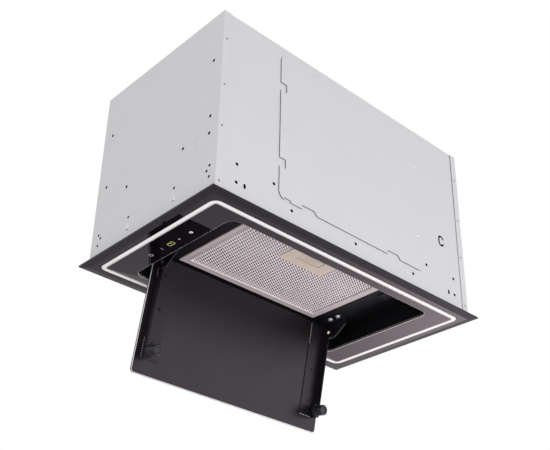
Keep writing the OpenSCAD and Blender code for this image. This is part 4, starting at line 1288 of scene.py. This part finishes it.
class Outlet(SubAssembly):
    """The duct collar on the top and the two flaps in it."""

    solids: ClassVar[dict[Finish, tuple[str, ...]]] = {
        WHITE_MOULDING: ("outlet_adaptor", "outlet_collar"),
        BLACK_MOULDING: ("damper_flap_left", "damper_flap_right"),
        BRIGHT_ZINC: ("damper_pins",),
    }


class Electronics(SubAssembly):
    """The tray with the power board, and the gland that the mains cable would enter by."""

    solids: ClassVar[dict[Finish, tuple[str, ...]]] = {
        BLACK_MOULDING: ("electronics_tray", "cable_gland"),
        WHITE_MOULDING: ("electronics_lid", "terminal_block", "motor_capacitor"),
        BOARD_GREEN: ("power_board",),
    }


@dataclass(frozen=True)
class Lamp:
    """A square soft lamp: its place, side and power in watts, what it faces and its colour."""

    name: str
    place: tuple[float, float, float]
    size: float
    power: float
    aim: tuple[float, float, float] = (0.0, 0.0, 0.1)
    colour: Colour = WHITE

    def hang(self) -> None:
        """Hangs the lamp in the studio."""
        light = bpy.data.lights.new(self.name, "AREA")
        light.size = self.size
        light.energy = self.power
        light.color = self.colour
        lamp = add_object(self.name, light)
        lamp.location = self.place
        facing = Vector(self.aim) - Vector(self.place)
        lamp.rotation_euler = facing.to_track_quat("-Z", "Y").to_euler()


@dataclass
class Studio:
    """A pale floor, soft light all round and the photograph's camera."""

    floor_level: float = -1.2
    floor_size: float = 16.0
    fill: float = 0.72
    lamps: tuple[Lamp, ...] = (
        Lamp("key_lamp", (1.8, -2.4, -0.2), 2.0, 22.0),
        Lamp("side_lamp", (-2.6, -0.4, 0.3), 2.0, 12.0),
        Lamp("under_lamp", (-0.5, -1.3, -0.95), 0.8, 9.0),
        Lamp("floor_lamp", (2.3, 1.3, -0.5), 0.5, 11.0, (2.3, 1.3, -1.2), (1.0, 0.86, 0.86)),
        Lamp("mesh_lamp", (0.75, 0.05, -0.75), 0.4, 3.0, (0.0, 0.0, 0.03)),
    )
    camera_place: tuple[float, float, float] = (-0.9147, -0.9694, -0.6780)
    azimuth: float = -40.560
    elevation: float = -29.283
    roll: float = 2.216
    focal_pixels: float = 953.65
    axis_pixel: tuple[float, float] = (245.79, 251.76)
    sensor: float = 36.0
    nearest: float = 0.01
    farthest: float = 100.0

    def build(self) -> None:
        """Builds the floor, the light and the camera."""
        self._floor()
        self._world()
        for lamp in self.lamps:
            lamp.hang()
        self._camera()

    def _floor(self) -> None:
        """Lays the floor."""
        mesh = bmesh.new()
        bmesh.ops.create_grid(
            mesh, x_segments=1, y_segments=1, size=self.floor_size / 2,
            matrix=Matrix.Translation(UP * self.floor_level),
        )
        floor = mesh_object("studio_floor", mesh)
        floor.data.materials.append(STUDIO_FLOOR.material())

    def _world(self) -> None:
        """Makes the surroundings: white to the camera and in reflections, softer as light."""
        world = bpy.data.worlds.new("studio")
        bpy.context.scene.world = world
        world.use_nodes = True
        tree = world.node_tree
        background = tree.nodes["Background"]
        background.inputs["Color"].default_value = (*WHITE, 1.0)
        path = tree.nodes.new("ShaderNodeLightPath").outputs
        seen = path["Is Camera Ray"]
        for ray in ("Is Glossy Ray", "Is Transmission Ray"):
            seen = math_node(tree, "MAXIMUM", seen, path[ray])
        level = tree.nodes.new("ShaderNodeMapRange")
        set_inputs(level, {"To Min": self.fill, "To Max": 1.0})
        tree.links.new(seen, level.inputs["Value"])
        tree.links.new(level.outputs["Result"], background.inputs["Strength"])

    def _camera(self) -> None:
        """Sets the camera as the photograph's perspective gives it."""
        turn, rise, roll = (
            math.radians(angle) for angle in (self.azimuth, self.elevation, self.roll)
        )
        level_back = Vector((math.sin(turn), -math.cos(turn), 0.0))
        level_right = Vector((math.cos(turn), math.sin(turn), 0.0))
        back = math.cos(rise) * level_back + math.sin(rise) * UP
        level_up = back.cross(level_right)
        right = math.cos(roll) * level_right + math.sin(roll) * level_up
        up = math.cos(roll) * level_up - math.sin(roll) * level_right
        data = bpy.data.cameras.new("photo_camera")
        data.sensor_fit = "HORIZONTAL"
        data.sensor_width = self.sensor
        data.lens = self.focal_pixels / IMAGE_WIDTH * self.sensor
        data.shift_x = (IMAGE_WIDTH / 2 - self.axis_pixel[0]) / IMAGE_WIDTH
        data.shift_y = (self.axis_pixel[1] - IMAGE_HEIGHT / 2) / IMAGE_WIDTH
        data.clip_start = self.nearest
        data.clip_end = self.farthest
        camera = add_object("photo_camera", data)
        columns = Matrix((right, up, back)).transposed().to_4x4()
        camera.matrix_world = Matrix.Translation(self.camera_place) @ columns
        bpy.context.scene.camera = camera


def main() -> None:
    """Builds the hood and its studio in order."""
    logging.basicConfig(level=logging.INFO, format="%(name)s %(message)s")
    for old in list(bpy.data.objects):
        bpy.data.objects.remove(old)
    workshop = Workshop(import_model())
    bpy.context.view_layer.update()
    groups = (
        Casing(), GlassFlange(), SuctionPanel(), GreaseFilter(), Blower(), Outlet(), Electronics()
    )
    for group in groups:
        group.dress(workshop)
    Studio().build()
    bpy.context.scene.view_settings.view_transform = "Standard"


if __name__ == "__main__":
    main()
